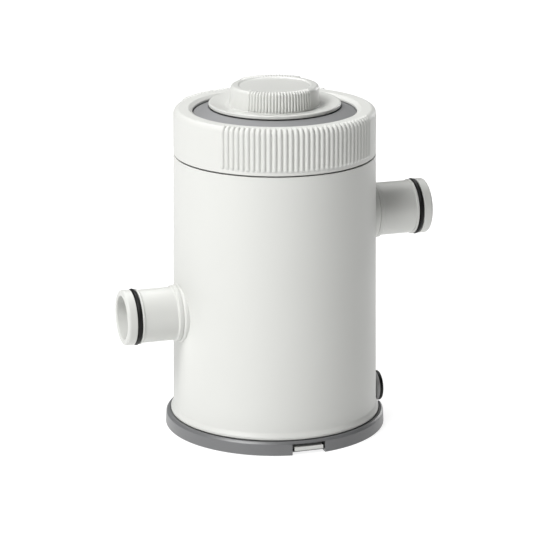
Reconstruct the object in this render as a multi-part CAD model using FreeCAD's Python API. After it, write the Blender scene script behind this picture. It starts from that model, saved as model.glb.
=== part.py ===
import FreeCAD, Part
import math
import os

from FreeCAD import Placement, Rotation, Vector

# Small electric cartridge filter pump for a family paddling pool, or for a boat's freshwater tank.
# Millimetres. Z is up, the origin is on the floor under the middle of the body, the front faces -Y.
# Water goes in at the upper port (+X), round the cartridge, through its pleats, down its core, into the
# eye of the impeller, and out at the lower port (-X). The motor lies dry under the bulkhead.

# Filter cartridge, which sets how wide and how tall the body is
cartridge_length = 97.0
cartridge_radius = 45.5
cartridge_bore_radius = 19.6
cartridge_cap = 3.5
cartridge_side_gap = 2.7
pleat_count = 40
pleat_edge_margin = 1.5
pleat_core_gap = 3.0
paper_thickness = 0.9
core_tube_wall = 2.0
core_tube_inset = 0.4
core_hole_radius = 3.0
core_hole_rows = 8
core_hole_columns = 8

# Body shell
body_taper = 1.5
shell_wall = 2.5
foot_flange_reach = 1.5
foot_flange_thickness = 1.6
foot_rise = 2.7
skirt_step = 1.0
bulkhead_thickness = 2.5

# Neck that the collar screws on
neck_wall = 3.0
neck_rise = 21.8
neck_thread_rise = 5.8
neck_thread_margin = 6.0

# Collar and its three-start thread
collar_wall = 2.6
collar_gap = 0.8
collar_flange = 2.8
collar_lip_width = 11.5
collar_edge_round = 3.5
collar_thread_starts = 3
collar_lead = 18.0
collar_thread_depth = 1.8
collar_thread_root = 3.2
collar_thread_crest = 1.8
collar_thread_slack = 0.2
collar_thread_play = 0.5
ring_thread_turn = 150.0

# Ribs for the fingers, on the collar and on the knob
collar_rib_count = 33
collar_rib_pitch = 3.0
collar_rib_radius = 1.25
collar_rib_proud = 0.6
collar_rib_low_margin = 2.4
collar_rib_high_margin = 2.6
knob_rib_count = 22
knob_rib_pitch = 4.1
knob_rib_radius = 0.75
knob_rib_proud = 0.4
knob_rib_low_margin = 0.8
knob_rib_high_margin = 3.6
knob_rib_turn = -10.0

# Top cover
cover_thickness = 2.5
cover_rim_thickness = 2.9
cover_rim_inset = 0.8
cover_cone_rise = 3.0
cover_cone_margin = 1.2
cover_cone_land = 2.0
cover_skirt_drop = 9.3
cover_skirt_wall = 4.1
cover_spigot_wall = 2.3
cover_spigot_drop = 6.5
cover_press_ring_width = 4.0
cover_press_ring_drop = 1.44

# Air-release knob and its valve
knob_brim_radius = 39.4
knob_brim_lift = 4.3
knob_brim_thickness = 2.2
knob_brim_land = 1.6
knob_brim_dish = 1.6
knob_brim_flat = 3.0
knob_foot_radius = 26.8
knob_draft = 0.6
knob_grip_height = 11.3
knob_wall = 2.4
knob_dish = 1.0
knob_edge_round = 3.2
stem_radius = 5.7
stem_length = 12.0
stem_slot = 2.0
valve_boss_wall = 3.5
valve_boss_rise = 2.8
valve_boss_drop = 6.7
valve_washer_thickness = 1.9
valve_lead = 4.0
valve_thread_depth = 0.9
valve_thread_root = 1.9
valve_thread_crest = 1.1
valve_thread_slack = 0.18
valve_thread_clearance = 0.4

# Hose ports
port_low_height = 74.1
port_high_height = 128.2
port_radius = 16.05
port_wall = 3.05
port_length = 34.0
port_lip_rise = 0.65
port_lip_width = 1.1
port_tip_land = 5.9
port_tip_round = 2.4
port_bead_rise = 1.05
port_bead_width = 2.6
port_boss_rise = 2.35
port_tail_step = 1.05
port_o_ring_section = 2.62
port_o_ring_groove_floor = 1.4

# Impeller, magnet and shaft
impeller_radius = 22.0
impeller_drop = 6.1
impeller_disc_thickness = 2.0
blade_count = 6
blade_thickness = 1.8
blade_roof_gap = 1.5
hub_radius = 5.5
sleeve_radius = 4.0
shaft_radius = 1.5
magnet_radius = 9.3
magnet_length = 22.5
bush_radius = 4.2
bush_length = 4.5
bush_cup_wall = 1.4
thrust_washer_radius = 3.6
thrust_washer_thickness = 0.9
end_float = 0.25
well_side_gap = 1.0
well_wall = 1.2
well_floor_drop = 4.89
well_floor_thickness = 1.5

# Pump chamber
chamber_side_gap = 6.0
chamber_wall = 2.4
chamber_ceiling_thickness = 2.6
chamber_seal_thickness = 1.2
eye_radius = 10.5
spider_arm_width = 2.4
spider_hub_wall = 2.0
socket_wall = 2.5
socket_run = 16.0
socket_depth = 8.4
chamber_ear_reach = 5.1
chamber_boss_radius = 4.2
chamber_boss_height = 8.0
chamber_ear_thickness = 3.0

# Stator
core_stack = 22.0
core_leg_width = 12.0
core_gap = 16.0
core_pole_reach = 13.0
core_yoke_reach = 44.0
coil_end_gap = 1.2
bobbin_wall = 1.0
coil_depth = 4.4
bobbin_flange = 0.8
strap_thickness = 1.6
strap_width = 9.0
strap_screw_margin = 7.0
strap_screw_front = 7.5
strap_well_gap = 1.0
strap_boss_radius = 4.0

# Base ring, bottom cover and screws
base_height = 8.2
base_wall = 5.6
base_bevel_inset = 0.4
base_bevel_drop = 1.3
base_top_inset = 1.5
base_lip_reach = 3.5
base_lip_thickness = 2.3
lug_width = 17.5
lug_height = 2.2
lug_rise = 1.9
window_margin = 1.5
bottom_thickness = 2.5
bottom_screw_inset = 13.0
bottom_screw_turn = 35.0
bottom_post_radius = 4.0
screw_radius = 1.6
screw_head_radius = 3.2
screw_head_height = 1.7
screw_bite = 9.0

# Power cord gland and terminals
gland_rise = 6.8
gland_wall = 1.45
gland_flange_rise = 2.7
gland_flange_thickness = 5.0
gland_pad_rise = 0.4
gland_depth = 11.9
cord_radius = 3.5
grommet_wall = 1.5
grommet_lip = 2.4
grommet_relief = 0.5
locknut_thickness = 3.5
terminal_length = 14.0
terminal_width = 20.0
terminal_height = 10.0
terminal_gap = 2.5
lead_radius = 0.9

# Clearances
snug = 0.05
running = 0.06
slack = 0.3
seal_gap = 0.04

# Radii worked out from the cartridge outwards
cover_skirt_radius = cartridge_radius + cartridge_side_gap + cover_skirt_wall
neck_bore_radius = cover_skirt_radius + slack
neck_radius = neck_bore_radius + neck_wall
collar_bore_radius = neck_radius + collar_thread_depth + collar_thread_play
collar_radius = collar_bore_radius + collar_wall
collar_opening_radius = collar_radius - collar_lip_width
cover_edge_radius = neck_radius - cover_rim_inset
cover_cone_top_radius = knob_brim_radius + cover_cone_margin
body_top_radius = collar_radius
body_foot_radius = body_top_radius + body_taper
foot_flange_radius = body_foot_radius + foot_flange_reach
skirt_radius = body_foot_radius - skirt_step
base_bore_radius = skirt_radius + slack
base_foot_radius = base_bore_radius + base_wall
base_bevel_radius = base_foot_radius - base_bevel_inset
base_top_radius = base_foot_radius - base_top_inset
base_lip_radius = skirt_radius - base_lip_reach
lug_reach = skirt_radius + lug_rise
through_all = 2 * base_foot_radius
window_width = lug_width + 2 * window_margin
bottom_screw_circle = skirt_radius - bottom_screw_inset
core_tube_radius = cartridge_bore_radius + core_tube_inset + core_tube_wall
pleat_outer_radius = cartridge_radius - pleat_edge_margin
pleat_inner_radius = core_tube_radius + pleat_core_gap
spigot_radius = cartridge_bore_radius - slack

# Radii of the ports, the pump chamber and the motor
port_bore_radius = port_radius - port_wall
port_lip_radius = port_radius + port_lip_rise
port_bead_radius = port_radius + port_bead_rise
port_boss_radius = port_radius + port_boss_rise
port_tail_radius = port_radius - port_tail_step
port_o_ring_groove_radius = port_bore_radius + port_o_ring_groove_floor
port_boss_face = body_foot_radius
port_reach = port_boss_face + port_length
chamber_radius = impeller_radius + chamber_side_gap
chamber_screw_circle = chamber_radius + chamber_wall + chamber_ear_reach
socket_radius = port_tail_radius + running + socket_wall
socket_reach = chamber_radius + socket_run
spider_hub_radius = bush_radius + spider_hub_wall
well_radius = magnet_radius + well_side_gap
core_half_width = core_gap / 2 + core_leg_width
strap_screw_x = core_half_width + strap_screw_margin
strap_screw_back = core_yoke_reach - core_leg_width / 2
strap_front_inner = well_radius + well_wall + strap_well_gap
coil_start = core_pole_reach + slack
coil_length = core_yoke_reach - core_leg_width - coil_end_gap - coil_start
gland_thread_radius = cord_radius + grommet_wall + snug + gland_wall
gland_flange_radius = gland_thread_radius + gland_flange_rise
pad_face = body_foot_radius + gland_pad_rise
gland_inner_reach = pad_face - gland_depth
terminal_reach = gland_inner_reach - terminal_gap - terminal_length

# Heights worked out from the floor up
skirt_low = base_lip_thickness + slack
housing_floor_top = skirt_low + bottom_thickness
lug_low = skirt_low + 0.1
base_bevel_height = base_height - base_bevel_drop
body_foot_height = base_height + foot_flange_thickness + foot_rise
gland_height = base_height + gland_rise
chamber_top = port_low_height + socket_radius + slack
chamber_ceiling = chamber_top - chamber_ceiling_thickness
bulkhead_top = port_low_height - socket_radius - slack - chamber_seal_thickness
bulkhead_low = bulkhead_top - bulkhead_thickness
core_top = bulkhead_low - slack - 3 * snug - bobbin_wall - coil_depth - bobbin_flange
core_low = core_top - core_stack
well_floor = core_low - well_floor_drop
lower_bush_low = well_floor
rotor_low = lower_bush_low + bush_length + thrust_washer_thickness + 2 * end_float
magnet_low = rotor_low + 0.7
impeller_disc_height = port_low_height - impeller_drop
upper_bush_low = chamber_ceiling - 1.0
rotor_high = upper_bush_low - thrust_washer_thickness - 2 * end_float
cartridge_low = chamber_top
cartridge_top = cartridge_low + cartridge_length
cover_underside = cartridge_top + slack + cover_press_ring_drop
cover_top = cover_underside + cover_thickness
neck_top = cover_top - cover_rim_thickness - slack
shoulder_height = neck_top - neck_rise
collar_low = shoulder_height + collar_gap
collar_top = cover_top + slack + collar_flange
neck_thread_start = shoulder_height + neck_thread_rise
neck_thread_turn = 360.0 * (neck_rise - neck_thread_rise - neck_thread_margin) / collar_lead
boss_top = cover_top + valve_boss_rise
hub_low = boss_top + valve_washer_thickness + 2 * snug
brim_low = cover_top + knob_brim_lift
knob_top_radius = knob_foot_radius - knob_draft
knob_top = brim_low + knob_brim_thickness + knob_grip_height


def body_radius(height):
    """Outside radius of the tapered body at a height."""
    share = (height - body_foot_height) / (shoulder_height - body_foot_height)
    return body_foot_radius + share * (body_top_radius - body_foot_radius)


def outline(corners):
    """Closed wire through (radius, height) corners in the XZ plane; a third value rounds the corner."""
    points = [Vector(corner[0], 0, corner[1]) for corner in corners]
    edges = []
    stations = []
    for index, here in enumerate(points):
        back = points[index - 1] - here
        onward = points[(index + 1) % len(points)] - here
        wanted = corners[index][2] if len(corners[index]) > 2 else 0
        if not wanted:
            stations.append((here, None, here))
            continue
        half = back.getAngle(onward) / 2
        reach = min(wanted / math.tan(half), 0.45 * back.Length, 0.45 * onward.Length)
        back.normalize()
        onward.normalize()
        inward = back + onward
        inward.normalize()
        radius = reach * math.tan(half)
        middle = here + inward * (radius / math.sin(half) - radius)
        stations.append((here + back * reach, middle, here + onward * reach))
    for index, (start, middle, end) in enumerate(stations):
        last = stations[index - 1][2]
        if (start - last).Length > 1e-6:
            edges.append(Part.makeLine(last, start))
        if middle:
            edges.append(Part.Arc(start, middle, end).toShape())
    return Part.Wire(edges)


def turned(*corners):
    """Solid of revolution about Z from (radius, height) corners."""
    return Part.Face(outline(corners)).revolve(Vector(0, 0, 0), Vector(0, 0, 1), 360)


def ring(inner, outer, low, high, soft=0.0):
    """Flat ring or washer about Z, with softened corners where asked."""
    return turned((inner, low, soft), (outer, low, soft), (outer, high, soft), (inner, high, soft))


def disc(radius, low, high, x=0.0, y=0.0):
    """Upright cylinder."""
    return Part.makeCylinder(radius, high - low, Vector(x, y, low))


def block(x_low, x_high, y_low, y_high, low, high):
    """Box between two corners."""
    return Part.makeBox(x_high - x_low, y_high - y_low, high - low, Vector(x_low, y_low, low))


def turn(shape, degrees):
    """Copy of a shape turned about Z."""
    copy = shape.copy()
    copy.rotate(Vector(0, 0, 0), Vector(0, 0, 1), degrees)
    return copy


def lay_along_x(shape, height, side):
    """Lay a shape made about Z on its side, pointing to +X or -X, at a height."""
    laid = shape.copy()
    laid.Placement = Placement(Vector(0, 0, height), Rotation(Vector(0, 1, 0), 90 * side))
    return laid


def joined(first, others):
    """One solid out of several that overlap."""
    return first.multiFuse(others).removeSplitter()


def thread(root, depth, root_width, crest_width, lead, low, degrees):
    """Right-hand helical ridge on a cylinder; a negative depth points it inwards."""
    sink = 0.3 if depth > 0 else -0.3
    spread = (root_width - crest_width) / abs(depth) * abs(sink) / 2
    helix = Part.makeHelix(lead, lead * degrees / 360, root)
    profile = Part.makePolygon([
        Vector(root - sink, 0, -root_width / 2 - spread),
        Vector(root + depth, 0, -crest_width / 2),
        Vector(root + depth, 0, crest_width / 2),
        Vector(root - sink, 0, root_width / 2 + spread),
        Vector(root - sink, 0, -root_width / 2 - spread)])
    ridge = Part.Wire(helix).makePipeShell([profile], True, True)
    ridge.translate(Vector(0, 0, low))
    return ridge


def domed_rod(radius, low, high):
    """Upright rod on Z with round ends."""
    lean = radius * math.sqrt(0.5)
    foot = Part.Arc(Vector(0, 0, low), Vector(lean, 0, low + radius - lean), Vector(radius, 0, low + radius))
    head = Part.Arc(
        Vector(radius, 0, high - radius), Vector(lean, 0, high - radius + lean), Vector(0, 0, high))
    side = Part.makeLine(Vector(radius, 0, low + radius), Vector(radius, 0, high - radius))
    axis = Part.makeLine(Vector(0, 0, high), Vector(0, 0, low))
    half = Part.Face(Part.Wire([foot.toShape(), side, head.toShape(), axis]))
    return half.revolve(Vector(0, 0, 0), Vector(0, 0, 1), 360)


def finger_ribs(count, pitch, radius, wall_radius, proud, low, high):
    """Upright rounded ribs in two sectors, front and back."""
    ribs = []
    rod = domed_rod(radius, low, high)
    for centre in (-90.0, 90.0):
        for index in range(count):
            angle = math.radians(centre + (index - (count - 1) / 2) * pitch)
            axis = wall_radius + proud - radius
            ribs.append(rod.translated(Vector(axis * math.cos(angle), axis * math.sin(angle), 0)))
    return ribs


def around(shape, count, start=0.0):
    """Copies of a shape evenly round Z."""
    return [turn(shape, start + index * 360.0 / count) for index in range(count)]


def screw(x, y, seat, length, down=True):
    """Pan-head screw with its head on a seat; it points down into its boss, or up."""
    way = -1 if down else 1
    shank = Part.makeCylinder(screw_radius - snug, length, Vector(x, y, seat), Vector(0, 0, way))
    head = turned((0, 0), (screw_head_radius, 0), (screw_head_radius, screw_head_height, 0.9),
                  (0, screw_head_height))
    slot = block(-screw_head_radius, screw_head_radius, -0.4, 0.4, screw_head_height - 0.8,
                 screw_head_height + 1)
    head = head.cut(slot).cut(turn(slot, 90))
    if not down:
        head.rotate(Vector(0, 0, 0), Vector(1, 0, 0), 180)
    head.translate(Vector(x, y, seat))
    return head.fuse(shank)


def save(name, *solids):
    """Write one node; several solids stay separate in it."""
    shape = solids[0] if len(solids) == 1 else Part.makeCompound(solids)
    shape.exportStep(os.path.join("parts", name + ".step"))


# Body of the pump
def housing():
    """Shell, neck, bulkhead and rotor well in one moulding."""
    inner_top = shoulder_height - shell_wall
    skirt_bore = skirt_radius - shell_wall
    well_out = well_radius + well_wall
    shell = turned(
        (skirt_radius, skirt_low, 0.4),
        (skirt_radius, base_height),
        (foot_flange_radius, base_height),
        (foot_flange_radius, base_height + foot_flange_thickness, 0.7),
        (body_foot_radius, body_foot_height, 2.0),
        (body_top_radius, shoulder_height, 0.8),
        (neck_radius, shoulder_height),
        (neck_radius, neck_top, 0.6),
        (neck_bore_radius, neck_top, 0.6),
        (neck_bore_radius, inner_top, 1.0),
        (body_radius(inner_top) - shell_wall, inner_top, 2.0),
        (body_radius(bulkhead_top) - shell_wall, bulkhead_top, 1.5),
        (well_radius, bulkhead_top, 0.8),
        (well_radius, well_floor),
        (0, well_floor),
        (0, well_floor - well_floor_thickness),
        (well_out, well_floor - well_floor_thickness, 1.0),
        (well_out, bulkhead_low),
        (body_radius(bulkhead_low) - shell_wall, bulkhead_low),
        (skirt_bore, base_height),
        (skirt_bore, skirt_low))
    grown = []
    ridge = thread(neck_radius, collar_thread_depth, collar_thread_root, collar_thread_crest,
                   collar_lead, neck_thread_start, neck_thread_turn)
    grown += around(ridge, collar_thread_starts)
    for side, height in ((-1, port_low_height), (1, port_high_height)):
        boss = turned((0, body_radius(height) - 6), (port_boss_radius, body_radius(height) - 6),
                      (port_boss_radius, port_boss_face, 0.9), (0, port_boss_face))
        grown.append(lay_along_x(boss, height, side))
    grown.append(ring(bush_radius + snug, bush_radius + bush_cup_wall, well_floor - 0.5,
                      well_floor + bush_length))
    for x, y in chamber_screw_places():
        grown.append(disc(chamber_boss_radius, bulkhead_top - 0.5, bulkhead_top + chamber_boss_height, x, y))
    for x, y in strap_screw_places():
        grown.append(disc(strap_boss_radius, core_low, bulkhead_low + 0.5, x, y))
    for x, y in bottom_screw_places():
        grown.append(disc(bottom_post_radius, housing_floor_top, bulkhead_low + 0.5, x, y))
    for x in (-1, 1):
        rests = ((-core_pole_reach, -core_pole_reach + 4), (core_yoke_reach - 9, core_yoke_reach - 3))
        for near, far in rests:
            middle = x * (core_gap + core_leg_width) / 2
            grown.append(block(middle - 3, middle + 3, near, far, core_top, bulkhead_low + 0.5))
    grown.append(disc(bottom_post_radius, core_top - 1.5, bulkhead_low + 0.5, *terminal_post_place()))
    for angle in (-90, 90):
        lug = ring(skirt_radius - 0.5, lug_reach, lug_low, lug_low + lug_height, 0.3)
        lug = lug.common(block(0, 2 * lug_reach, -lug_width / 2, lug_width / 2, 0, base_height))
        grown.append(turn(lug, angle))
    body = joined(shell, grown)
    for side, height in ((-1, port_low_height), (1, port_high_height)):
        hole = Part.makeCylinder(port_radius + snug, port_reach, Vector(0, 0, port_tail_start(side) - 2))
        body = body.cut(lay_along_x(hole, height, side))
    pilot = screw_radius
    for x, y in chamber_screw_places():
        top = bulkhead_top + chamber_boss_height
        body = body.cut(disc(pilot, top - 7.5, top + 1, x, y))
    for x, y in strap_screw_places():
        body = body.cut(disc(pilot, core_low - 1, core_low + screw_bite + 1, x, y))
    for x, y in bottom_screw_places():
        body = body.cut(disc(pilot, housing_floor_top - 1, housing_floor_top + screw_bite + 1, x, y))
    x, y = terminal_post_place()
    body = body.cut(disc(pilot, core_top - 3, core_top + 5, x, y))
    hole = Part.makeCylinder(gland_thread_radius + snug, through_all, Vector(0, 0, gland_inner_reach - 1))
    return body.cut(gland_pad()).cut(lay_along_x(hole, gland_height, 1))


def gland_pad():
    """Square room for the gland's flange, cut flat across the foot."""
    half = gland_flange_radius + slack
    return block(pad_face, through_all, -half, half, gland_height - half, gland_height + half)


def port_tail_start(side):
    """Inner end of a port: the outlet reaches the pump chamber, the inlet stops at the shell."""
    if side < 0:
        return socket_reach - socket_depth + 0.4
    return body_radius(port_high_height) - shell_wall - 1.5


def port(side, height):
    """Hose spigot, welded in through the shell, with a bead outside and lips for its sealing ring."""
    tail = port_tail_start(side)
    step = port_boss_face - 7.5
    groove_low = port_groove_low()
    groove_high = groove_low + port_o_ring_section + 0.2
    lip_low = groove_low - port_lip_width
    corners = [(port_bore_radius, tail)]
    if side < 0:
        corners += [(port_tail_radius, tail, 0.4), (port_tail_radius, step)]
        corners += [(port_radius, step)]
    else:
        corners += [(port_radius, tail)]
    corners += [
        (port_radius, port_boss_face),
        (port_bead_radius, port_boss_face, 0.5),
        (port_bead_radius, port_boss_face + port_bead_width, 0.9),
        (port_radius, port_boss_face + port_bead_width + 0.3, 0.8),
        (port_radius, lip_low - 0.7, 0.5),
        (port_lip_radius, lip_low, 0.4),
        (port_lip_radius, groove_low, 0.2),
        (port_o_ring_groove_radius, groove_low),
        (port_o_ring_groove_radius, groove_high),
        (port_lip_radius, groove_high, 0.2),
        (port_lip_radius, port_reach, port_tip_round),
        (port_bore_radius, port_reach, 0.8)]
    return lay_along_x(turned(*corners), height, side)


def port_groove_low():
    """Distance from the body's axis to the near wall of the sealing-ring groove."""
    return port_reach - port_tip_land - port_o_ring_section - 0.2


def port_o_ring(side, height):
    """Rubber ring in the port's groove."""
    section = port_o_ring_section / 2
    centre = port_groove_low() + section + 0.1
    hoop = Part.makeTorus(port_o_ring_groove_radius + section + 0.02, section, Vector(0, 0, centre))
    return lay_along_x(hoop, height, side)


# Places that several pieces share
def on_circle(radius, angles):
    """Points on a circle about the axis."""
    return [(radius * math.cos(math.radians(a)), radius * math.sin(math.radians(a))) for a in angles]


def chamber_screw_places():
    return on_circle(chamber_screw_circle, (45, 135, 225, 315))


def bottom_screw_places():
    turned_by = bottom_screw_turn
    return on_circle(bottom_screw_circle, (turned_by, 180 - turned_by, 180 + turned_by, -turned_by))


def strap_screw_places():
    return [(x, y) for x in (-strap_screw_x, strap_screw_x) for y in (-strap_screw_front, strap_screw_back)]


def terminal_post_place():
    return (terminal_reach + terminal_length / 2, -terminal_width / 2 - 4.5)


# Collar, top cover and air-release valve
def lid_ring():
    """Screwed collar: its flange holds the top cover down on the neck."""
    bore = collar_bore_radius
    flange_low = collar_top - collar_flange
    shell = turned(
        (bore, collar_low, 0.4),
        (collar_radius, collar_low, 0.5),
        (collar_radius, collar_top, collar_edge_round),
        (collar_opening_radius, collar_top, 0.8),
        (collar_opening_radius, flange_low, 0.3),
        (bore, flange_low, 0.5))
    middle_sum = 2 * collar_thread_root - (collar_thread_root - collar_thread_crest) * (
        (bore - neck_radius) / collar_thread_depth)
    drop = middle_sum / 2 + collar_thread_slack
    ridge = thread(bore, -collar_thread_depth, collar_thread_root, collar_thread_crest,
                   collar_lead, neck_thread_start - drop, ring_thread_turn)
    ribs = finger_ribs(
        collar_rib_count, collar_rib_pitch, collar_rib_radius, collar_radius, collar_rib_proud,
        collar_low + collar_rib_low_margin, collar_top - collar_rib_high_margin)
    return joined(shell, around(ridge, collar_thread_starts) + ribs)


def cover_groove():
    """Groove of the cover's seal: bottom radius, low and high edges."""
    section = port_o_ring_section
    bottom = neck_bore_radius - seal_gap - section - 0.02
    high = cover_underside - 3.0
    return bottom, high - section - 0.2, high


def top_cover():
    """Grey cover: plug skirt in the neck, spigot in the cartridge, and a threaded boss for the valve."""
    groove_radius, groove_low, groove_high = cover_groove()
    skirt_out = cover_skirt_radius
    skirt_in = skirt_out - cover_skirt_wall
    skirt_low_edge = cover_underside - cover_skirt_drop
    bore = stem_radius + valve_thread_depth + valve_thread_clearance
    boss = bore + valve_boss_wall
    spigot_low = cover_underside - cover_spigot_drop
    press_low = cartridge_top + slack
    press_in = cartridge_bore_radius + 2.0
    cone_top = cover_top + cover_cone_rise
    cone_inner = cover_cone_top_radius - cover_cone_land
    plate = turned(
        (bore, cover_underside - valve_boss_drop),
        (boss, cover_underside - valve_boss_drop, 0.5),
        (boss, cover_underside, 0.5),
        (spigot_radius - cover_spigot_wall, cover_underside, 0.5),
        (spigot_radius - cover_spigot_wall, spigot_low, 0.3),
        (spigot_radius, spigot_low, 0.8),
        (spigot_radius, cover_underside),
        (press_in, cover_underside),
        (press_in, press_low),
        (press_in + cover_press_ring_width, press_low, 0.5),
        (press_in + cover_press_ring_width, cover_underside, 0.5),
        (skirt_in, cover_underside, 0.8),
        (skirt_in, skirt_low_edge, 0.5),
        (skirt_out, skirt_low_edge, 0.8),
        (skirt_out, groove_low),
        (groove_radius, groove_low),
        (groove_radius, groove_high),
        (skirt_out, groove_high),
        (skirt_out, neck_top + slack),
        (cover_edge_radius, neck_top + slack, 0.4),
        (cover_edge_radius, cover_top, 0.5),
        (collar_opening_radius - 0.4, cover_top, 0.5),
        (cover_cone_top_radius, cone_top, 0.5),
        (cone_inner, cone_top, 0.4),
        (cone_inner - 1.2, cover_top, 0.6),
        (boss, cover_top, 0.4),
        (boss, boss_top, 0.3),
        (bore, boss_top, 0.3))
    ridge = thread(bore, -valve_thread_depth, valve_thread_root, valve_thread_crest, valve_lead,
                   valve_ridge_start(), valve_ridge_turn())
    return joined(plate, [ridge])


def valve_ridge_start():
    """Height where the ridge in the valve's boss begins."""
    return cover_underside - valve_boss_drop + valve_thread_root / 2 + 0.6


def valve_ridge_turn():
    """Turn of the ridge in the valve's boss, which leaves both mouths of the bore plain."""
    span = boss_top - (cover_underside - valve_boss_drop) - valve_thread_root - 1.2
    return 360.0 * span / valve_lead


def cover_seal():
    """Rubber ring between the cover's skirt and the neck."""
    groove_radius, groove_low, groove_high = cover_groove()
    section = port_o_ring_section / 2
    centre = Vector(0, 0, (groove_low + groove_high) / 2)
    return Part.makeTorus(groove_radius + section + 0.02, section, centre)


def air_release_knob():
    """Hat-shaped knob with its brim, ribbed grip and threaded stem in one moulding."""
    hub = stem_radius + valve_thread_depth + valve_thread_clearance + valve_boss_wall
    brim_top = brim_low + knob_brim_thickness
    foot = brim_top - knob_brim_dish
    flat = knob_foot_radius + knob_brim_flat
    land = knob_brim_radius - knob_brim_land
    ceiling = knob_top - knob_dish - knob_wall
    stem_low = hub_low - stem_length
    hat = turned(
        (0, stem_low),
        (stem_radius, stem_low, 0.6),
        (stem_radius, hub_low),
        (hub, hub_low, 0.3),
        (hub, ceiling, 1.0),
        (knob_foot_radius - knob_wall, ceiling, 1.5),
        (knob_foot_radius - knob_wall, brim_low - knob_brim_dish, 0.8),
        (flat - 0.4, brim_low - knob_brim_dish, 2.0),
        (land - 0.8, brim_low, 2.0),
        (knob_brim_radius, brim_low, 0.7),
        (knob_brim_radius, brim_top, 0.8),
        (land, brim_top, 1.2),
        (flat, foot, 2.0),
        (knob_foot_radius, foot, 1.0),
        (knob_top_radius, knob_top, knob_edge_round),
        (knob_top_radius - 5.0, knob_top - 0.3, 2.0),
        (0, knob_top - knob_dish))
    bore = stem_radius + valve_thread_depth + valve_thread_clearance
    middle_sum = 2 * valve_thread_root - (valve_thread_root - valve_thread_crest) * (
        (bore - stem_radius) / valve_thread_depth)
    drop = middle_sum / 2 + valve_thread_slack
    start = valve_ridge_start() - drop
    skipped = math.ceil(max(0.0, stem_low + valve_thread_root / 2 + 0.7 - start) / valve_lead)
    low = start + skipped * valve_lead
    degrees = 360.0 * (hub_low - 3.5 - low) / valve_lead
    ridge = thread(stem_radius, valve_thread_depth, valve_thread_root, valve_thread_crest, valve_lead,
                   low, degrees)
    ribs = finger_ribs(
        knob_rib_count, knob_rib_pitch, knob_rib_radius, knob_top_radius + 0.3, knob_rib_proud,
        foot + knob_rib_low_margin, knob_top - knob_rib_high_margin)
    knob = joined(hat, [ridge] + [turn(rib, knob_rib_turn) for rib in ribs])
    reach = stem_radius + valve_thread_depth + 1
    for side in (-1, 1):
        ends = sorted((side * (stem_radius - 1), side * reach))
        slot = block(ends[0], ends[1], -stem_slot / 2, stem_slot / 2, stem_low - 1, hub_low - 2.0)
        knob = knob.cut(slot)
    return knob


def valve_washer():
    """Rubber washer that the knob's hub presses on the cover's boss."""
    bore = stem_radius + valve_thread_depth + valve_thread_clearance
    return ring(bore, bore + valve_boss_wall - 0.5, boss_top + snug, hub_low - snug, 0.3)


# Filter cartridge
def cartridge_end_cap(low):
    """Soft end cap: a ring that the pleats are cast into."""
    return ring(cartridge_bore_radius, cartridge_radius, low, low + cartridge_cap, 0.6)


def cartridge_core():
    """Perforated tube inside the pleats."""
    low = cartridge_low + cartridge_cap
    high = cartridge_top - cartridge_cap
    tube = ring(core_tube_radius - core_tube_wall, core_tube_radius, low, high)
    drills = []
    for row in range(core_hole_rows):
        height = low + (row + 0.5) * (high - low) / core_hole_rows
        for column in range(core_hole_columns // 2):
            angle = (column + 0.5 * (row % 2)) * 360.0 / core_hole_columns
            reach = 1.5 * core_tube_radius
            drill = Part.makeCylinder(core_hole_radius, 2 * reach, Vector(0, 0, -reach))
            drills.append(turn(lay_along_x(drill, height, 1), angle))
    return tube.cut(drills)


def pleat_boundary(crest, valley, crest_share, valley_share):
    """Closed polygon that goes out to each crest and back to each valley."""
    pitch = 2 * math.pi / pleat_count
    points = []
    for index in range(pleat_count):
        middle = index * pitch
        for share, radius in ((-valley_share, valley), (-crest_share, crest), (crest_share, crest),
                              (valley_share, valley)):
            angle = middle + share * pitch
            points.append(Vector(radius * math.cos(angle), radius * math.sin(angle), 0))
    return Part.Face(Part.makePolygon(points + points[:1]))


def cartridge_media():
    """Pleated filter paper, a closed folded band."""
    pitch_angle = 2 * math.pi / pleat_count
    crest_paper = paper_thickness / (pleat_outer_radius * pitch_angle)
    valley_paper = paper_thickness / (pleat_inner_radius * pitch_angle)
    outer = pleat_boundary(pleat_outer_radius, pleat_inner_radius + paper_thickness, 0.18, 0.18 + 0.17)
    inner = pleat_boundary(pleat_outer_radius - paper_thickness, pleat_inner_radius,
                           0.18 - crest_paper, 0.18 + 0.17 - valley_paper)
    band = outer.cut(inner).extrude(Vector(0, 0, cartridge_length - 2 * cartridge_cap))
    band.translate(Vector(0, 0, cartridge_low + cartridge_cap))
    return band.Solids[0]


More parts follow.
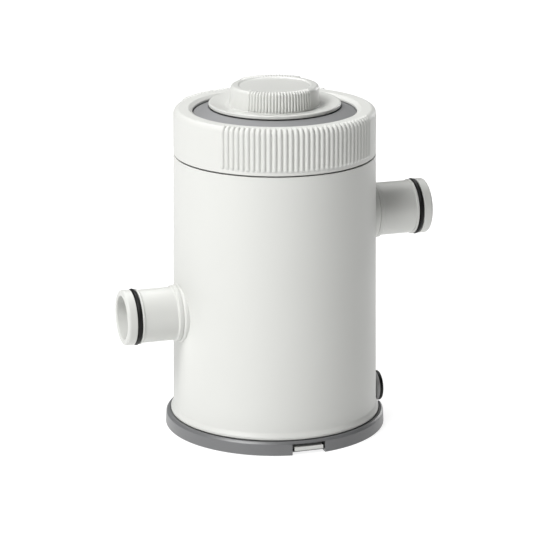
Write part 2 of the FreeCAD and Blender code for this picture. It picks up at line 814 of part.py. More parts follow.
# Pump chamber
def pump_chamber():
    """Upturned cup over the impeller, with the eye, the cartridge seat and the outlet socket."""
    low = bulkhead_top + chamber_seal_thickness
    out = chamber_radius + chamber_wall
    cup = turned(
        (chamber_radius, low),
        (out, low, 0.4),
        (out, chamber_top, 1.0),
        (spigot_radius, chamber_top),
        (spigot_radius, chamber_top + cartridge_cap + 1.5, 0.6),
        (spigot_radius - 2.0, chamber_top + cartridge_cap + 1.5, 0.4),
        (spigot_radius - 2.0, chamber_top, 0.5),
        (eye_radius, chamber_top, 0.8),
        (eye_radius, chamber_ceiling, 0.8),
        (chamber_radius, chamber_ceiling, 1.5))
    socket = Part.makeCylinder(
        socket_radius, socket_reach - chamber_radius + 4, Vector(0, 0, chamber_radius - 4))
    grown = [lay_along_x(socket, port_low_height, -1)]
    ear_low = bulkhead_top + chamber_boss_height
    for x, y in chamber_screw_places():
        angle = math.degrees(math.atan2(y, x))
        web = block(chamber_radius + 0.5, chamber_screw_circle, -chamber_boss_radius, chamber_boss_radius,
                    ear_low, ear_low + chamber_ear_thickness)
        grown.append(turn(web, angle))
        grown.append(disc(chamber_boss_radius, ear_low, ear_low + chamber_ear_thickness, x, y))
    arm = block(spider_hub_radius - 1, eye_radius + 1, -spider_arm_width / 2, spider_arm_width / 2,
                chamber_ceiling, chamber_top)
    hub = disc(spider_hub_radius, upper_bush_low, chamber_top + 1.4)
    spider = hub.multiFuse(around(arm, 3, 30.0))
    cup = joined(cup, grown + [spider])
    cup = cup.cut(disc(bush_radius + snug, upper_bush_low - 1, upper_bush_low + bush_length))
    cup = cup.cut(disc(shaft_radius + 0.5, upper_bush_low, chamber_top + 0.2))
    bore = Part.makeCylinder(port_bore_radius, socket_reach, Vector(0, 0, chamber_radius - 6))
    seat = Part.makeCylinder(
        port_tail_radius + running, socket_depth + 1, Vector(0, 0, socket_reach - socket_depth))
    cup = cup.cut(lay_along_x(bore, port_low_height, -1)).cut(lay_along_x(seat, port_low_height, -1))
    for x, y in chamber_screw_places():
        cup = cup.cut(disc(screw_radius + 0.2, ear_low - 1, ear_low + chamber_ear_thickness + 1, x, y))
    return cup


def chamber_seal():
    """Flat gasket under the chamber's wall."""
    return ring(chamber_radius + 0.2, chamber_radius + chamber_wall + 0.8, bulkhead_top,
                bulkhead_top + chamber_seal_thickness)


# Impeller, magnet and shaft
def impeller():
    """Straight-bladed impeller with the sleeve that carries the magnet."""
    bore = shaft_radius + running
    disc_top = impeller_disc_height + impeller_disc_thickness
    wheel = turned(
        (bore, rotor_low),
        (sleeve_radius, rotor_low, 0.3),
        (sleeve_radius, magnet_low + magnet_length + 1.0),
        (hub_radius, magnet_low + magnet_length + 3.0),
        (hub_radius, impeller_disc_height),
        (impeller_radius, impeller_disc_height, 0.5),
        (impeller_radius, disc_top, 0.5),
        (hub_radius, disc_top),
        (hub_radius, rotor_high, 0.5),
        (bore, rotor_high))
    blade = block(hub_radius - 1, impeller_radius - 0.6, -blade_thickness / 2, blade_thickness / 2,
                  disc_top - 0.5, chamber_ceiling - blade_roof_gap)
    return joined(wheel, around(blade, blade_count))


def rotor_magnet():
    """Ferrite ring on the impeller's sleeve."""
    return ring(sleeve_radius + 0.02, magnet_radius, magnet_low, magnet_low + magnet_length, 0.5)


def rotor_shaft():
    """Ceramic pin held still in the two bushes."""
    return turned((0, lower_bush_low + 0.3), (shaft_radius, lower_bush_low + 0.3, 0.3),
                  (shaft_radius, upper_bush_low + bush_length - 0.3, 0.3),
                  (0, upper_bush_low + bush_length - 0.3))


def bush(low):
    """Rubber bush round an end of the shaft."""
    return ring(shaft_radius + 0.02, bush_radius, low, low + bush_length)


def thrust_washer(low):
    """Hard washer that the rotor runs against."""
    return ring(shaft_radius + 0.05, thrust_washer_radius, low, low + thrust_washer_thickness)


# Motor under the bulkhead
def stator_core():
    """Laminated U-shaped core with round pole faces."""
    half = core_gap / 2
    outer = half + core_leg_width
    yoke = block(-outer, outer, core_yoke_reach - core_leg_width, core_yoke_reach, core_low, core_top)
    legs = [block(min(s * half, s * outer), max(s * half, s * outer), -core_pole_reach,
                  core_yoke_reach - core_leg_width + 1, core_low, core_top) for s in (-1, 1)]
    core = joined(yoke, legs)
    return core.cut(disc(well_radius + well_wall + slack, core_low - 1, core_top + 1))


def coil_piece(side, inner, outer_x, outer_z, start, length):
    """Rectangular sleeve round one leg of the core."""
    middle = side * (core_gap + core_leg_width) / 2
    half_x = core_leg_width / 2
    half_z = core_stack / 2
    centre = core_low + half_z
    outside = block(middle - half_x - outer_x, middle + half_x + outer_x, start, start + length,
                    centre - half_z - outer_z, centre + half_z + outer_z)
    inside = block(middle - half_x - inner, middle + half_x + inner, start - 1, start + length + 1,
                   centre - half_z - inner, centre + half_z + inner)
    return outside.cut(inside)


def coil_bobbin(side):
    """Plastic former with two flanges."""
    gap = 0.15
    deep = gap + bobbin_wall + coil_depth + bobbin_flange
    tube = coil_piece(side, gap, gap + bobbin_wall, gap + bobbin_wall, coil_start, coil_length)
    near = coil_piece(side, gap, deep, deep, coil_start, bobbin_wall)
    far = coil_piece(side, gap, deep, deep, coil_start + coil_length - bobbin_wall, bobbin_wall)
    return joined(tube, [near, far])


def coil_winding(side):
    """Copper winding as one block."""
    start = coil_start + bobbin_wall
    length = coil_length - 2 * bobbin_wall
    base = 0.15 + bobbin_wall
    return coil_piece(side, base, base + coil_depth, base + coil_depth, start, length)


def stator_strap(y, near, far):
    """Steel bar that clamps the core up under the bulkhead."""
    bar = block(near, far, y - strap_width / 2, y + strap_width / 2, core_low - strap_thickness, core_low)
    for side in (-1, 1):
        bar = bar.cut(disc(screw_radius + 0.2, core_low - strap_thickness - 1, core_low + 1,
                           side * strap_screw_x, y))
    return bar


def stator_straps():
    """One bar across the yoke, and a short one under each pole, beside the rotor well."""
    reach = strap_screw_x + strap_boss_radius
    return [stator_strap(strap_screw_back, -reach, reach),
            stator_strap(-strap_screw_front, -reach, -strap_front_inner),
            stator_strap(-strap_screw_front, strap_front_inner, reach)]


def terminal_block():
    """Plastic block where the cord's wires meet the coils' leads."""
    high = core_top - 1.5
    low = high - terminal_height
    x, y = terminal_post_place()
    body = block(terminal_reach, terminal_reach + terminal_length, -terminal_width / 2, terminal_width / 2,
                 low, high)
    ear = block(x - 4, x + 4, y - 4, -terminal_width / 2 + 1, high - 3, high)
    body = joined(body, [ear])
    body = body.cut(disc(screw_radius + 0.2, high - 4, high + 1, x, y))
    for y_clamp in terminal_rows():
        body = body.cut(block(terminal_reach - 1, terminal_reach + terminal_length + 1,
                              y_clamp - 2.6, y_clamp + 2.6, low + 2.0, low + 7.2))
    return body


def terminal_rows():
    """The two clamps lie side by side."""
    return (-terminal_width / 4, terminal_width / 4)


def terminal_clamp(y):
    """Brass sleeve in the block."""
    low = core_top - 1.5 - terminal_height
    sleeve = block(terminal_reach + 1.5, terminal_reach + terminal_length - 1.5, y - 2.5, y + 2.5,
                   low + 2.1, low + 7.1)
    way = Part.makeCylinder(1.6, terminal_length + 2, Vector(terminal_reach, y, low + 4.6), Vector(1, 0, 0))
    return sleeve.cut(way)


def coil_leads():
    """Insulated leads: each coil's to its terminal, and a link that joins the coils in series."""
    y_coil = coil_start + coil_length / 2
    x_side = (core_gap + core_leg_width) / 2 + core_leg_width / 2 + coil_depth + bobbin_wall
    x_side += 0.2 + lead_radius
    z_under = core_low - coil_depth - bobbin_wall - 0.2 - lead_radius
    z_end = core_top - 1.5 - terminal_height + 4.6
    far_row, near_row = terminal_rows()
    x_end = terminal_reach + 1.4
    right = [(x_side, y_coil, core_low + 3), (x_side + 1.5, y_coil - 4, core_low + 9),
             (x_end - 4, near_row + 2, z_end - 2), (x_end, near_row, z_end)]
    left = [(-core_gap / 2 - 3, y_coil, z_under), (0, y_coil - 3, z_under - 4), (18, y_coil - 8, z_under - 6),
            (x_end - 3.4, near_row + 3, z_under), (x_end - 3.2, near_row - 2, z_end - 10),
            (x_end - 2.8, far_row, z_end - 3), (x_end, far_row, z_end)]
    link = [(-core_gap / 2, y_coil + 4, z_under), (0, y_coil + 4.5, z_under - 0.6),
            (core_gap / 2, y_coil + 4, z_under)]
    leads = []
    for places in (right, left, link):
        points = [Vector(*place) for place in places]
        curve = Part.BSplineCurve()
        curve.interpolate(points)
        start = curve.tangent(curve.FirstParameter)[0]
        section = Part.Wire(Part.makeCircle(lead_radius, points[0], start))
        leads.append(Part.Wire(curve.toShape()).makePipeShell([section], True, True))
    return leads


# Cord gland
def cord_gland():
    """Flanged bushing for the power cord, screwed in from outside."""
    flange_out = pad_face + gland_flange_thickness
    bore = cord_radius + grommet_wall + snug
    body = turned(
        (bore, gland_inner_reach),
        (gland_thread_radius, gland_inner_reach, 0.5),
        (gland_thread_radius, pad_face),
        (gland_flange_radius, pad_face, 0.3),
        (gland_flange_radius, flange_out, 1.5),
        (bore + 1.2, flange_out, 1.0),
        (bore, flange_out - 2.0))
    return lay_along_x(body, gland_height, 1)


def gland_grommet():
    """Rubber sleeve in the gland, with a lip round the cord at its outer end."""
    low = gland_inner_reach + 1.0
    high = pad_face + gland_flange_thickness - 2.0
    lip_low = high - grommet_lip
    sleeve = turned(
        (cord_radius + grommet_relief, low),
        (cord_radius + grommet_wall, low, 0.3),
        (cord_radius + grommet_wall, high, 0.3),
        (cord_radius, high),
        (cord_radius, lip_low),
        (cord_radius + grommet_relief, lip_low - grommet_relief))
    return lay_along_x(sleeve, gland_height, 1)


def gland_locknut():
    """Six-sided nut inside the shell."""
    low = gland_inner_reach + 2.0
    corners = [Vector(x, y, low) for x, y in on_circle(gland_flange_radius, range(0, 361, 60))]
    nut = Part.Face(Part.makePolygon(corners)).extrude(Vector(0, 0, locknut_thickness))
    nut = nut.cut(Part.makeCylinder(gland_thread_radius + snug, through_all, Vector(0, 0, 0)))
    return lay_along_x(nut, gland_height, 1)


# Base
def base_ring():
    """Grey ring that the body snaps into, with a window over each latch lug."""
    hoop = turned(
        (base_lip_radius, 0, 0.3),
        (base_foot_radius, 0, 0.4),
        (base_bevel_radius, base_bevel_height, 0.5),
        (base_top_radius, base_height, 0.3),
        (base_bore_radius, base_height),
        (base_bore_radius, base_lip_thickness),
        (base_lip_radius, base_lip_thickness))
    for side in (-1, 1):
        near, far = sorted((side * base_lip_radius / 2, side * through_all))
        hoop = hoop.cut(block(-window_width / 2, window_width / 2, near, far, -1, base_bevel_height))
    return hoop.cut(gland_pad())


def bottom_cover():
    """Plate that closes the motor space."""
    plate = ring(0.0, skirt_radius - shell_wall - slack, skirt_low, housing_floor_top)
    for x, y in bottom_screw_places():
        plate = plate.cut(disc(screw_radius + 0.2, skirt_low - 1, housing_floor_top + 1, x, y))
    return plate


os.makedirs("parts", exist_ok=True)

save("housing", housing())
save("outlet_port", port(-1, port_low_height))
save("inlet_port", port(1, port_high_height))
save("outlet_o_ring", port_o_ring(-1, port_low_height))
save("inlet_o_ring", port_o_ring(1, port_high_height))
save("base_ring", base_ring())
save("bottom_cover", bottom_cover())
save("bottom_cover_screws", *[screw(x, y, skirt_low, bottom_thickness + screw_bite, down=False)
                              for x, y in bottom_screw_places()])
save("lid_ring", lid_ring())
save("top_cover", top_cover())
save("cover_seal", cover_seal())
save("air_release_knob", air_release_knob())
save("valve_washer", valve_washer())
save("cartridge_bottom_cap", cartridge_end_cap(cartridge_low))
save("cartridge_top_cap", cartridge_end_cap(cartridge_top - cartridge_cap))
save("cartridge_core", cartridge_core())
save("cartridge_media", cartridge_media())
save("pump_chamber", pump_chamber())
save("chamber_seal", chamber_seal())
ear_top = bulkhead_top + chamber_boss_height + chamber_ear_thickness
chamber_screw_length = chamber_ear_thickness + 7.0
save("chamber_screws", *[screw(x, y, ear_top, chamber_screw_length) for x, y in chamber_screw_places()])
save("impeller", impeller())
save("rotor_magnet", rotor_magnet())
save("rotor_shaft", rotor_shaft())
save("lower_bush", bush(lower_bush_low))
save("upper_bush", bush(upper_bush_low))
save("thrust_washers", thrust_washer(lower_bush_low + bush_length + end_float),
     thrust_washer(rotor_high + end_float))
save("stator_core", stator_core())
save("coil_bobbins", coil_bobbin(-1), coil_bobbin(1))
save("coil_windings", coil_winding(-1), coil_winding(1))
save("stator_straps", *stator_straps())
save("strap_screws", *[screw(x, y, core_low - strap_thickness, strap_thickness + screw_bite, down=False)
                       for x, y in strap_screw_places()])
save("terminal_block", terminal_block())
save("terminal_clamps", *[terminal_clamp(y) for y in terminal_rows()])
save("terminal_screw", screw(*terminal_post_place(), core_top - 1.5 - 3, 7.0, down=False))
save("coil_leads", *coil_leads())
save("cord_gland", cord_gland())
save("gland_grommet", gland_grommet())
save("gland_locknut", gland_locknut())
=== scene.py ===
import math

import bmesh
import bpy
from mathutils import Matrix, Vector


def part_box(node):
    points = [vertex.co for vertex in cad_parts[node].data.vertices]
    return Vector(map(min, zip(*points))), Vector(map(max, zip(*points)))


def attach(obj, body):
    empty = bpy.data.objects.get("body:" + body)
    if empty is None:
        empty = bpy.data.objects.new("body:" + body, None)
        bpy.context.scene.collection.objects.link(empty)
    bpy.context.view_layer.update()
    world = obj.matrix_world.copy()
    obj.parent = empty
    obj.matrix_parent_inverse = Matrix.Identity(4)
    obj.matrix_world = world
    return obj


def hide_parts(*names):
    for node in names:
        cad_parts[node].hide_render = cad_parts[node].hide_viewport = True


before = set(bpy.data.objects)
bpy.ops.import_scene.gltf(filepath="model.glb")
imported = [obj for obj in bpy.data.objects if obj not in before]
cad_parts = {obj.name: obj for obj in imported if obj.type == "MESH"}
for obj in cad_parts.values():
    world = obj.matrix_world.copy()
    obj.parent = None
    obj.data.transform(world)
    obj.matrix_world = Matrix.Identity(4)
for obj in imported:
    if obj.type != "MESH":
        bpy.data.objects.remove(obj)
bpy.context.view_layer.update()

# Studio
# A pale floor that fills the view, soft lamps and a long lens on the photograph's side. None of it is
# part of the pump, which stands on the floor at the origin with its front to -Y.


class Socket:
    """Output of a node. Python's arithmetic on it adds Math nodes."""

    def __init__(self, graph, socket):
        self.graph = graph
        self.socket = socket

    def maths(self, operation, *values):
        return self.graph.add("ShaderNodeMath", {"operation": operation}, dict(enumerate(values)))

    def __add__(self, other):
        return self.maths("ADD", self, other)

    def __radd__(self, other):
        return self.maths("ADD", other, self)

    def __sub__(self, other):
        return self.maths("SUBTRACT", self, other)

    def __rsub__(self, other):
        return self.maths("SUBTRACT", other, self)

    def __mul__(self, other):
        return self.maths("MULTIPLY", self, other)

    def __rmul__(self, other):
        return self.maths("MULTIPLY", other, self)

    def __truediv__(self, other):
        return self.maths("DIVIDE", self, other)

    def __rtruediv__(self, other):
        return self.maths("DIVIDE", other, self)

    def __pow__(self, other):
        return self.maths("POWER", self, other)

    def __abs__(self):
        return self.maths("ABSOLUTE", self)


class Graph:
    """Node tree that every other node is added to by one method."""

    def __init__(self, tree):
        self.tree = tree

    def add(self, kind, settings=None, values=None, output=0):
        node = self.tree.nodes.new(kind)
        for name, setting in (settings or {}).items():
            if name == "stops":
                ramp = node.color_ramp.elements
                for element, (position, colour) in zip([ramp[0], ramp[1]], setting):
                    element.position = position
                    element.color = colour
            else:
                setattr(node, name, setting)
        for name, value in (values or {}).items():
            self.feed(node.inputs[name], value)
        return Socket(self, node.outputs[output])

    def feed(self, target, value):
        if isinstance(value, Socket):
            self.tree.links.new(value.socket, target)
        else:
            target.default_value = value

    def parts(self, vector):
        """X, Y and Z of a vector."""
        split = self.add("ShaderNodeSeparateXYZ", None, {0: vector}).socket.node
        return [Socket(self, split.outputs[axis]) for axis in "XYZ"]


class Finish(Graph):
    """Material of one kind of surface, on one Principled shader."""

    def __init__(self, name, **constants):
        self.material = bpy.data.materials.new(name)
        self.material.use_nodes = True
        super().__init__(self.material.node_tree)
        self.shader = self.tree.nodes["Principled BSDF"]
        self.place = self.add("ShaderNodeTexCoord", output="Object")
        for socket, value in constants.items():
            self.set(socket.replace("_", " "), value)

    def set(self, socket, value):
        self.feed(self.shader.inputs[socket], value)

    def noise(self, scale, detail=2.0, stretch=(1, 1, 1)):
        """Cloudy value between 0 and 1 at a number of features per metre."""
        place = self.add("ShaderNodeMapping", None, {"Vector": self.place, "Scale": stretch})
        return self.add("ShaderNodeTexNoise", None, {"Vector": place, "Scale": scale, "Detail": detail})

    def band(self, value, low, high):
        """0 below one value, 1 above another, and smooth between them."""
        return self.add("ShaderNodeMapRange", {"interpolation_type": "SMOOTHSTEP"},
                        {"Value": value, "From Min": low, "From Max": high})

    def mixed(self, share, first, second):
        return self.add("ShaderNodeMix", {"data_type": "RGBA"}, {0: share, 6: first, 7: second}, 2)

    def relief(self, height, distance, strength=1.0):
        self.set("Normal", self.add("ShaderNodeBump", None,
                                    {"Height": height, "Distance": distance, "Strength": strength}))


def placed(name, data):
    """New object in the scene."""
    thing = bpy.data.objects.new(name, data)
    bpy.context.scene.collection.objects.link(thing)
    return thing


camera_spot = Vector((-0.4950, -1.5234, 0.5628))
camera_aim = Vector((0.0, 0.0, 0.08896))
camera_data = bpy.data.cameras.new("camera")
camera_data.lens = 177.24
camera_data.sensor_width = 36.0
camera_data.shift_x = 0.00945
camera = placed("camera", camera_data)
camera.location = camera_spot
camera.rotation_mode = "QUATERNION"
camera.rotation_quaternion = (camera_aim - camera_spot).to_track_quat("-Z", "Y")
bpy.context.scene.camera = camera
bpy.context.scene.view_settings.view_transform = "Standard"

surround = bpy.data.worlds.new("surround")
surround.use_nodes = True
surround.node_tree.nodes["Background"].inputs["Color"].default_value = (1.0, 1.0, 1.0, 1.0)
surround.node_tree.nodes["Background"].inputs["Strength"].default_value = 0.02
bpy.context.scene.world = surround


def lamp(name, spot, width, watts):
    """Square soft lamp that faces the pump."""
    light = bpy.data.lights.new(name, "AREA")
    light.size = width
    light.energy = watts
    holder = placed(name, light)
    holder.location = spot
    holder.rotation_mode = "QUATERNION"
    holder.rotation_quaternion = (Vector((0, 0, 0.1)) - Vector(spot)).to_track_quat("-Z", "Y")


lamp("key_lamp", (-1.31, -0.73, 1.75), 1.1, 50.0)
lamp("low_lamp", (-1.50, -1.00, 0.45), 0.7, 4.0)
lamp("top_lamp", (0.10, 1.25, 2.2), 1.8, 42.0)
lamp("rim_lamp", (1.2, 0.9, 0.35), 0.5, 4.5)

floor_half = 6.0
floor_mesh = bpy.data.meshes.new("floor")
floor_mesh.from_pydata([(-floor_half, -floor_half, 0), (floor_half, -floor_half, 0),
                        (floor_half, floor_half, 0), (-floor_half, floor_half, 0)], [], [(0, 1, 2, 3)])
floor = placed("floor", floor_mesh)
paper = Finish("floor_paper", Roughness=0.9, Emission_Strength=0.82)
paper.set("Base Color", paper.mixed(paper.noise(6.0), (0.29, 0.29, 0.29, 1), (0.31, 0.31, 0.31, 1)))
paper.set("Emission Color", (1.0, 1.0, 1.0, 1.0))
floor_mesh.materials.append(paper.material)

# Body of the pump
# One off-white moulding: tapered shell, threaded neck, the bulkhead over the motor and the well that
# its rotor turns in. Moulded in a fine-textured tool, so it is satin, with hardly any wear.


def rounded(corners, step=0.006, hold=0.0004, fine=15):
    """Closed outline through (radius, height) corners. A third value rounds a corner; straight runs get
    a point near each end, to keep them flat, and one at each step."""
    stations = []
    for index, corner in enumerate(corners):
        here = Vector(corner[:2])
        back = Vector(corners[index - 1][:2]) - here
        onward = Vector(corners[(index + 1) % len(corners)][:2]) - here
        if len(corner) < 3:
            stations.append([here])
            continue
        half = back.angle(onward) / 2
        longest = 0.45 * min(back.length, onward.length)
        reach = min(corner[2] / math.tan(half), longest)
        radius = reach * math.tan(half)
        middle = here + (back.normalized() + onward.normalized()).normalized() * radius / math.sin(half)
        start = here + back.normalized() * reach - middle
        end = here + onward.normalized() * reach - middle
        first = math.atan2(start.y, start.x)
        sweep = math.remainder(math.atan2(end.y, end.x) - first, math.tau)
        steps = max(2, round(abs(math.degrees(sweep)) / fine))
        stations.append([middle + radius * Vector((math.cos(first + sweep * k / steps),
                                                   math.sin(first + sweep * k / steps)))
                         for k in range(steps + 1)])
    points = []
    for index, station in enumerate(stations):
        points += station
        start = station[-1]
        run = stations[(index + 1) % len(stations)][0] - start
        if run.length > 4 * hold:
            count = math.ceil((run.length - 2 * hold) / step)
            for k in range(count + 1):
                points.append(start + run.normalized() * (hold + k * (run.length - 2 * hold) / count))
    return points


def turned(name, corners, angles=180, **settings):
    """Closed piece turned about Z. Angles is a count, or a list in radians."""
    outline = rounded(corners, **settings)
    if isinstance(angles, int):
        angles = [math.tau * k / angles for k in range(angles)]
    points, rings = [], []
    for radius, height in outline:
        ring = [len(points)] if radius < 1e-7 else range(len(points), len(points) + len(angles))
        rings.append(ring)
        for angle in angles[:len(ring)]:
            points.append((radius * math.cos(angle), radius * math.sin(angle), height))
    faces = []
    for here, there in zip(rings, rings[1:] + rings[:1]):
        for k in range(len(angles)):
            j = (k + 1) % len(angles)
            corner = [here[k % len(here)], here[j % len(here)], there[j % len(there)], there[k % len(there)]]
            corner = list(dict.fromkeys(corner))
            if len(corner) > 2:
                faces.append(corner)
    mesh = bpy.data.meshes.new(name)
    mesh.from_pydata(points, [], faces)
    return face_outwards(placed(name, mesh))


def face_outwards(piece):
    """Close doubled seams and point every face of a closed piece outwards."""
    shape = bmesh.new()
    shape.from_mesh(piece.data)
    bmesh.ops.remove_doubles(shape, verts=shape.verts, dist=1e-6)
    bmesh.ops.recalc_face_normals(shape, faces=shape.faces)
    shape.to_mesh(piece.data)
    shape.free()
    return piece


def block(name, low, high):
    """Box between two opposite corners, in any order, used as a tool or as a small lug."""
    across, deep, tall = (sorted(pair) for pair in zip(low, high))
    corners = [(x, y, z) for x in across for y in deep for z in tall]
    sides = [(0, 1, 3, 2), (4, 6, 7, 5), (0, 4, 5, 1), (2, 3, 7, 6), (0, 2, 6, 4), (1, 5, 7, 3)]
    mesh = bpy.data.meshes.new(name)
    mesh.from_pydata(corners, [], sides)
    return face_outwards(placed(name, mesh))


def rod(name, radius, low, high, sides=32):
    """Solid cylinder about Z, used as a screw boss or as a drill."""
    return turned(name, [(0.0, low), (radius, low), (radius, high), (0.0, high)], sides)


def moved(piece, x=0.0, y=0.0, z=0.0):
    piece.data.transform(Matrix.Translation((x, y, z)))
    return piece


def laid(piece, side, height):
    """Lay a piece turned about Z along +X or -X, at a height."""
    piece.data.transform(Matrix.Translation((0, 0, height)) @ Matrix.Rotation(side * math.pi / 2, 4, "Y"))
    return piece


def gathered(name, pieces):
    """Several closed pieces as one mesh."""
    shape = bmesh.new()
    for piece in pieces:
        shape.from_mesh(piece.data)
        bpy.data.objects.remove(piece)
    mesh = bpy.data.meshes.new(name)
    shape.to_mesh(mesh)
    shape.free()
    return placed(name, mesh)


def baked(piece):
    """Turn a piece and its modifiers into plain mesh."""
    depsgraph = bpy.context.evaluated_depsgraph_get()
    mesh = bpy.data.meshes.new_from_object(piece.evaluated_get(depsgraph))
    piece.modifiers.clear()
    piece.data = mesh
    return piece


def worked(piece, operation, tools):
    """Join tools to a piece, or cut them out of it."""
    tool = gathered("tool", tools)
    modifier = piece.modifiers.new("work", "BOOLEAN")
    modifier.operation = operation
    modifier.solver = "MANIFOLD"
    modifier.object = tool
    baked(piece)
    bpy.data.objects.remove(tool)
    return piece


def completed(piece, finish, sharp=32):
    """Smooth faces, crisp edges, and the finish."""
    piece.data.polygons.foreach_set("use_smooth", [True] * len(piece.data.polygons))
    piece.data.set_sharp_from_angle(angle=math.radians(sharp))
    piece.data.materials.clear()
    piece.data.materials.append(finish.material)
    return piece


def white_moulding(name, roughness, tone=1.0):
    """Off-white plastic from a fine-textured tool; a lower tone is a little greyer."""
    finish = Finish(name, IOR=1.49)
    cloud = finish.noise(26.0, 3.0)
    grain = finish.noise(2600.0, 1.0)
    flow = finish.noise(60.0, 2.0, (1.0, 1.0, 0.12))
    finish.set("Base Color", finish.mixed(cloud, (0.617 * tone, 0.622 * tone, 0.597 * tone, 1),
                                          (0.645 * tone, 0.650 * tone, 0.625 * tone, 1)))
    finish.set("Roughness", roughness + 0.07 * flow + 0.05 * grain)
    finish.relief(grain, 0.000012, 0.6)
    return finish


class Shape(Graph):
    """Geometry Nodes tree with named inputs, which ends in realised mesh with its material."""

    def __init__(self, name, sizes):
        tree = bpy.data.node_groups.new(name, "GeometryNodeTree")
        super().__init__(tree)
        tree.interface.new_socket("Geometry", in_out="OUTPUT", socket_type="NodeSocketGeometry")
        tree.interface.new_socket("Geometry", in_out="INPUT", socket_type="NodeSocketGeometry")
        for size, kind in {**sizes, "Material": "NodeSocketMaterial"}.items():
            tree.interface.new_socket(size, in_out="INPUT", socket_type=kind)
        self.entry = tree.nodes.new("NodeGroupInput")
        self.exit = tree.nodes.new("NodeGroupOutput")

    def size(self, name):
        return Socket(self, self.entry.outputs[name])

    def end(self, geometry):
        whole = self.add("GeometryNodeRealizeInstances", None, {0: geometry})
        made = self.add("GeometryNodeSetMaterial", None,
                        {"Geometry": whole, "Material": self.size("Material")})
        self.feed(self.exit.inputs[0], made)

    def cast(self, piece, values):
        """Run the tree on a piece with these sizes, and keep plain mesh."""
        modifier = piece.modifiers.new("shape", "NODES")
        modifier.node_group = self.tree
        for item in self.tree.interface.items_tree:
            if item.in_out == "INPUT" and item.name in values:
                modifier[item.identifier] = values[item.name]
        return baked(piece)


number, whole_number = "NodeSocketFloat", "NodeSocketInt"
thread = Shape("thread_ridge", {"Radius": number, "Depth": number, "Sink": number, "Root": number,
                                "Crest": number, "Lead": number, "Low": number, "Turn": number,
                                "Run Out": number, "Starts": whole_number, "Steps": whole_number})
strip = thread.add("GeometryNodeMeshGrid", None, {
    "Size X": 1.0, "Size Y": 1.0, "Vertices X": thread.size("Steps"), "Vertices Y": 5})
along, across = thread.parts(thread.add("GeometryNodeInputPosition"))[:2]
along = along + 0.5
# The grid's five rows become the low root, low crest, high crest, high root, and the low root again.
row = 0.25
crest = across.maths("LESS_THAN", abs(across + row / 2), 0.8 * row)
upper = across.maths("LESS_THAN", abs(across - row / 2), 0.8 * row)
angle = along * thread.size("Turn")
from_end = along.maths("MINIMUM", along, 1.0 - along) * thread.size("Turn")
full = along.maths("MINIMUM", from_end / thread.size("Run Out"), 1.0)
half = full * (thread.size("Root") + crest * (thread.size("Crest") - thread.size("Root"))) / 2
sink = thread.size("Sink")
radius = thread.size("Radius") - sink + full * crest * (thread.size("Depth") + sink)
climb = thread.size("Low") + thread.size("Lead") * angle / math.tau + (2.0 * upper - 1.0) * half
coiled = thread.add("ShaderNodeCombineXYZ", None, {"X": radius * angle.maths("COSINE", angle),
                                                   "Y": radius * angle.maths("SINE", angle), "Z": climb})
strip = thread.add("GeometryNodeSetPosition", None, {"Geometry": strip, "Position": coiled})
strip = thread.add("GeometryNodeMergeByDistance", None, {"Geometry": strip, "Distance": 0.000001})
share = thread.add("GeometryNodeInputIndex") * math.tau / thread.size("Starts")
thread.end(thread.add("GeometryNodeInstanceOnPoints", None, {
    "Points": thread.add("GeometryNodePoints", None, {"Count": thread.size("Starts")}),
    "Instance": strip, "Rotation": thread.add("ShaderNodeCombineXYZ", None, {"Z": share})}))


def ridges(radius, depth, root, crest, lead, low, degrees, starts, finish,
           sink=0.0003, run_out=9.0, step=3.0):
    """Screw-thread ridges to be joined to a wall, which they sink into; they thin out over run_out degrees
    at each end. A negative depth points them inwards."""
    piece = placed("ridges", bpy.data.meshes.new("ridges"))
    return face_outwards(thread.cast(piece, {
        "Radius": radius, "Depth": depth, "Sink": math.copysign(sink, depth), "Root": root, "Crest": crest,
        "Lead": lead, "Low": low, "Turn": math.radians(degrees), "Run Out": math.radians(run_out),
        "Starts": starts, "Steps": round(degrees / step), "Material": finish.material}))


def mid_height(node):
    return sum(corner.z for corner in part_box(node)) / 2


shell_wall = 0.0025
skirt_radius = 0.0610
foot_radius = 0.0620
top_radius = 0.0605
flange_radius = 0.0635
flange_rise = 0.0018
neck_radius = 0.0556
neck_bore = 0.0526
neck_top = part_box("housing")[1].z
skirt_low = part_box("housing")[0].z
base_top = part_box("base_ring")[1].z
foot_height = 0.0125
foot_gap = 0.0004
collar_gap = 0.0008
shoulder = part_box("lid_ring")[0].z - collar_gap
trench_edge, trench_foot, trench_depth = 0.0007, 0.0009, 0.0012
outlet_height = mid_height("outlet_port")
inlet_height = mid_height("inlet_port")
gland_height = mid_height("cord_gland")
bulkhead_thickness = 0.0025
bulkhead_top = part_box("chamber_seal")[0].z
bulkhead_low = bulkhead_top - bulkhead_thickness
core_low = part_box("stator_core")[0].z
well_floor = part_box("lower_bush")[0].z
well_radius = 0.0103
well_wall = 0.0012
well_end_wall = 0.0015
cover_top_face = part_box("bottom_cover")[1].z


def shell_radius(height):
    """Outside of the tapered shell at a height."""
    return foot_radius + (top_radius - foot_radius) * (height - foot_height) / (shoulder - foot_height)


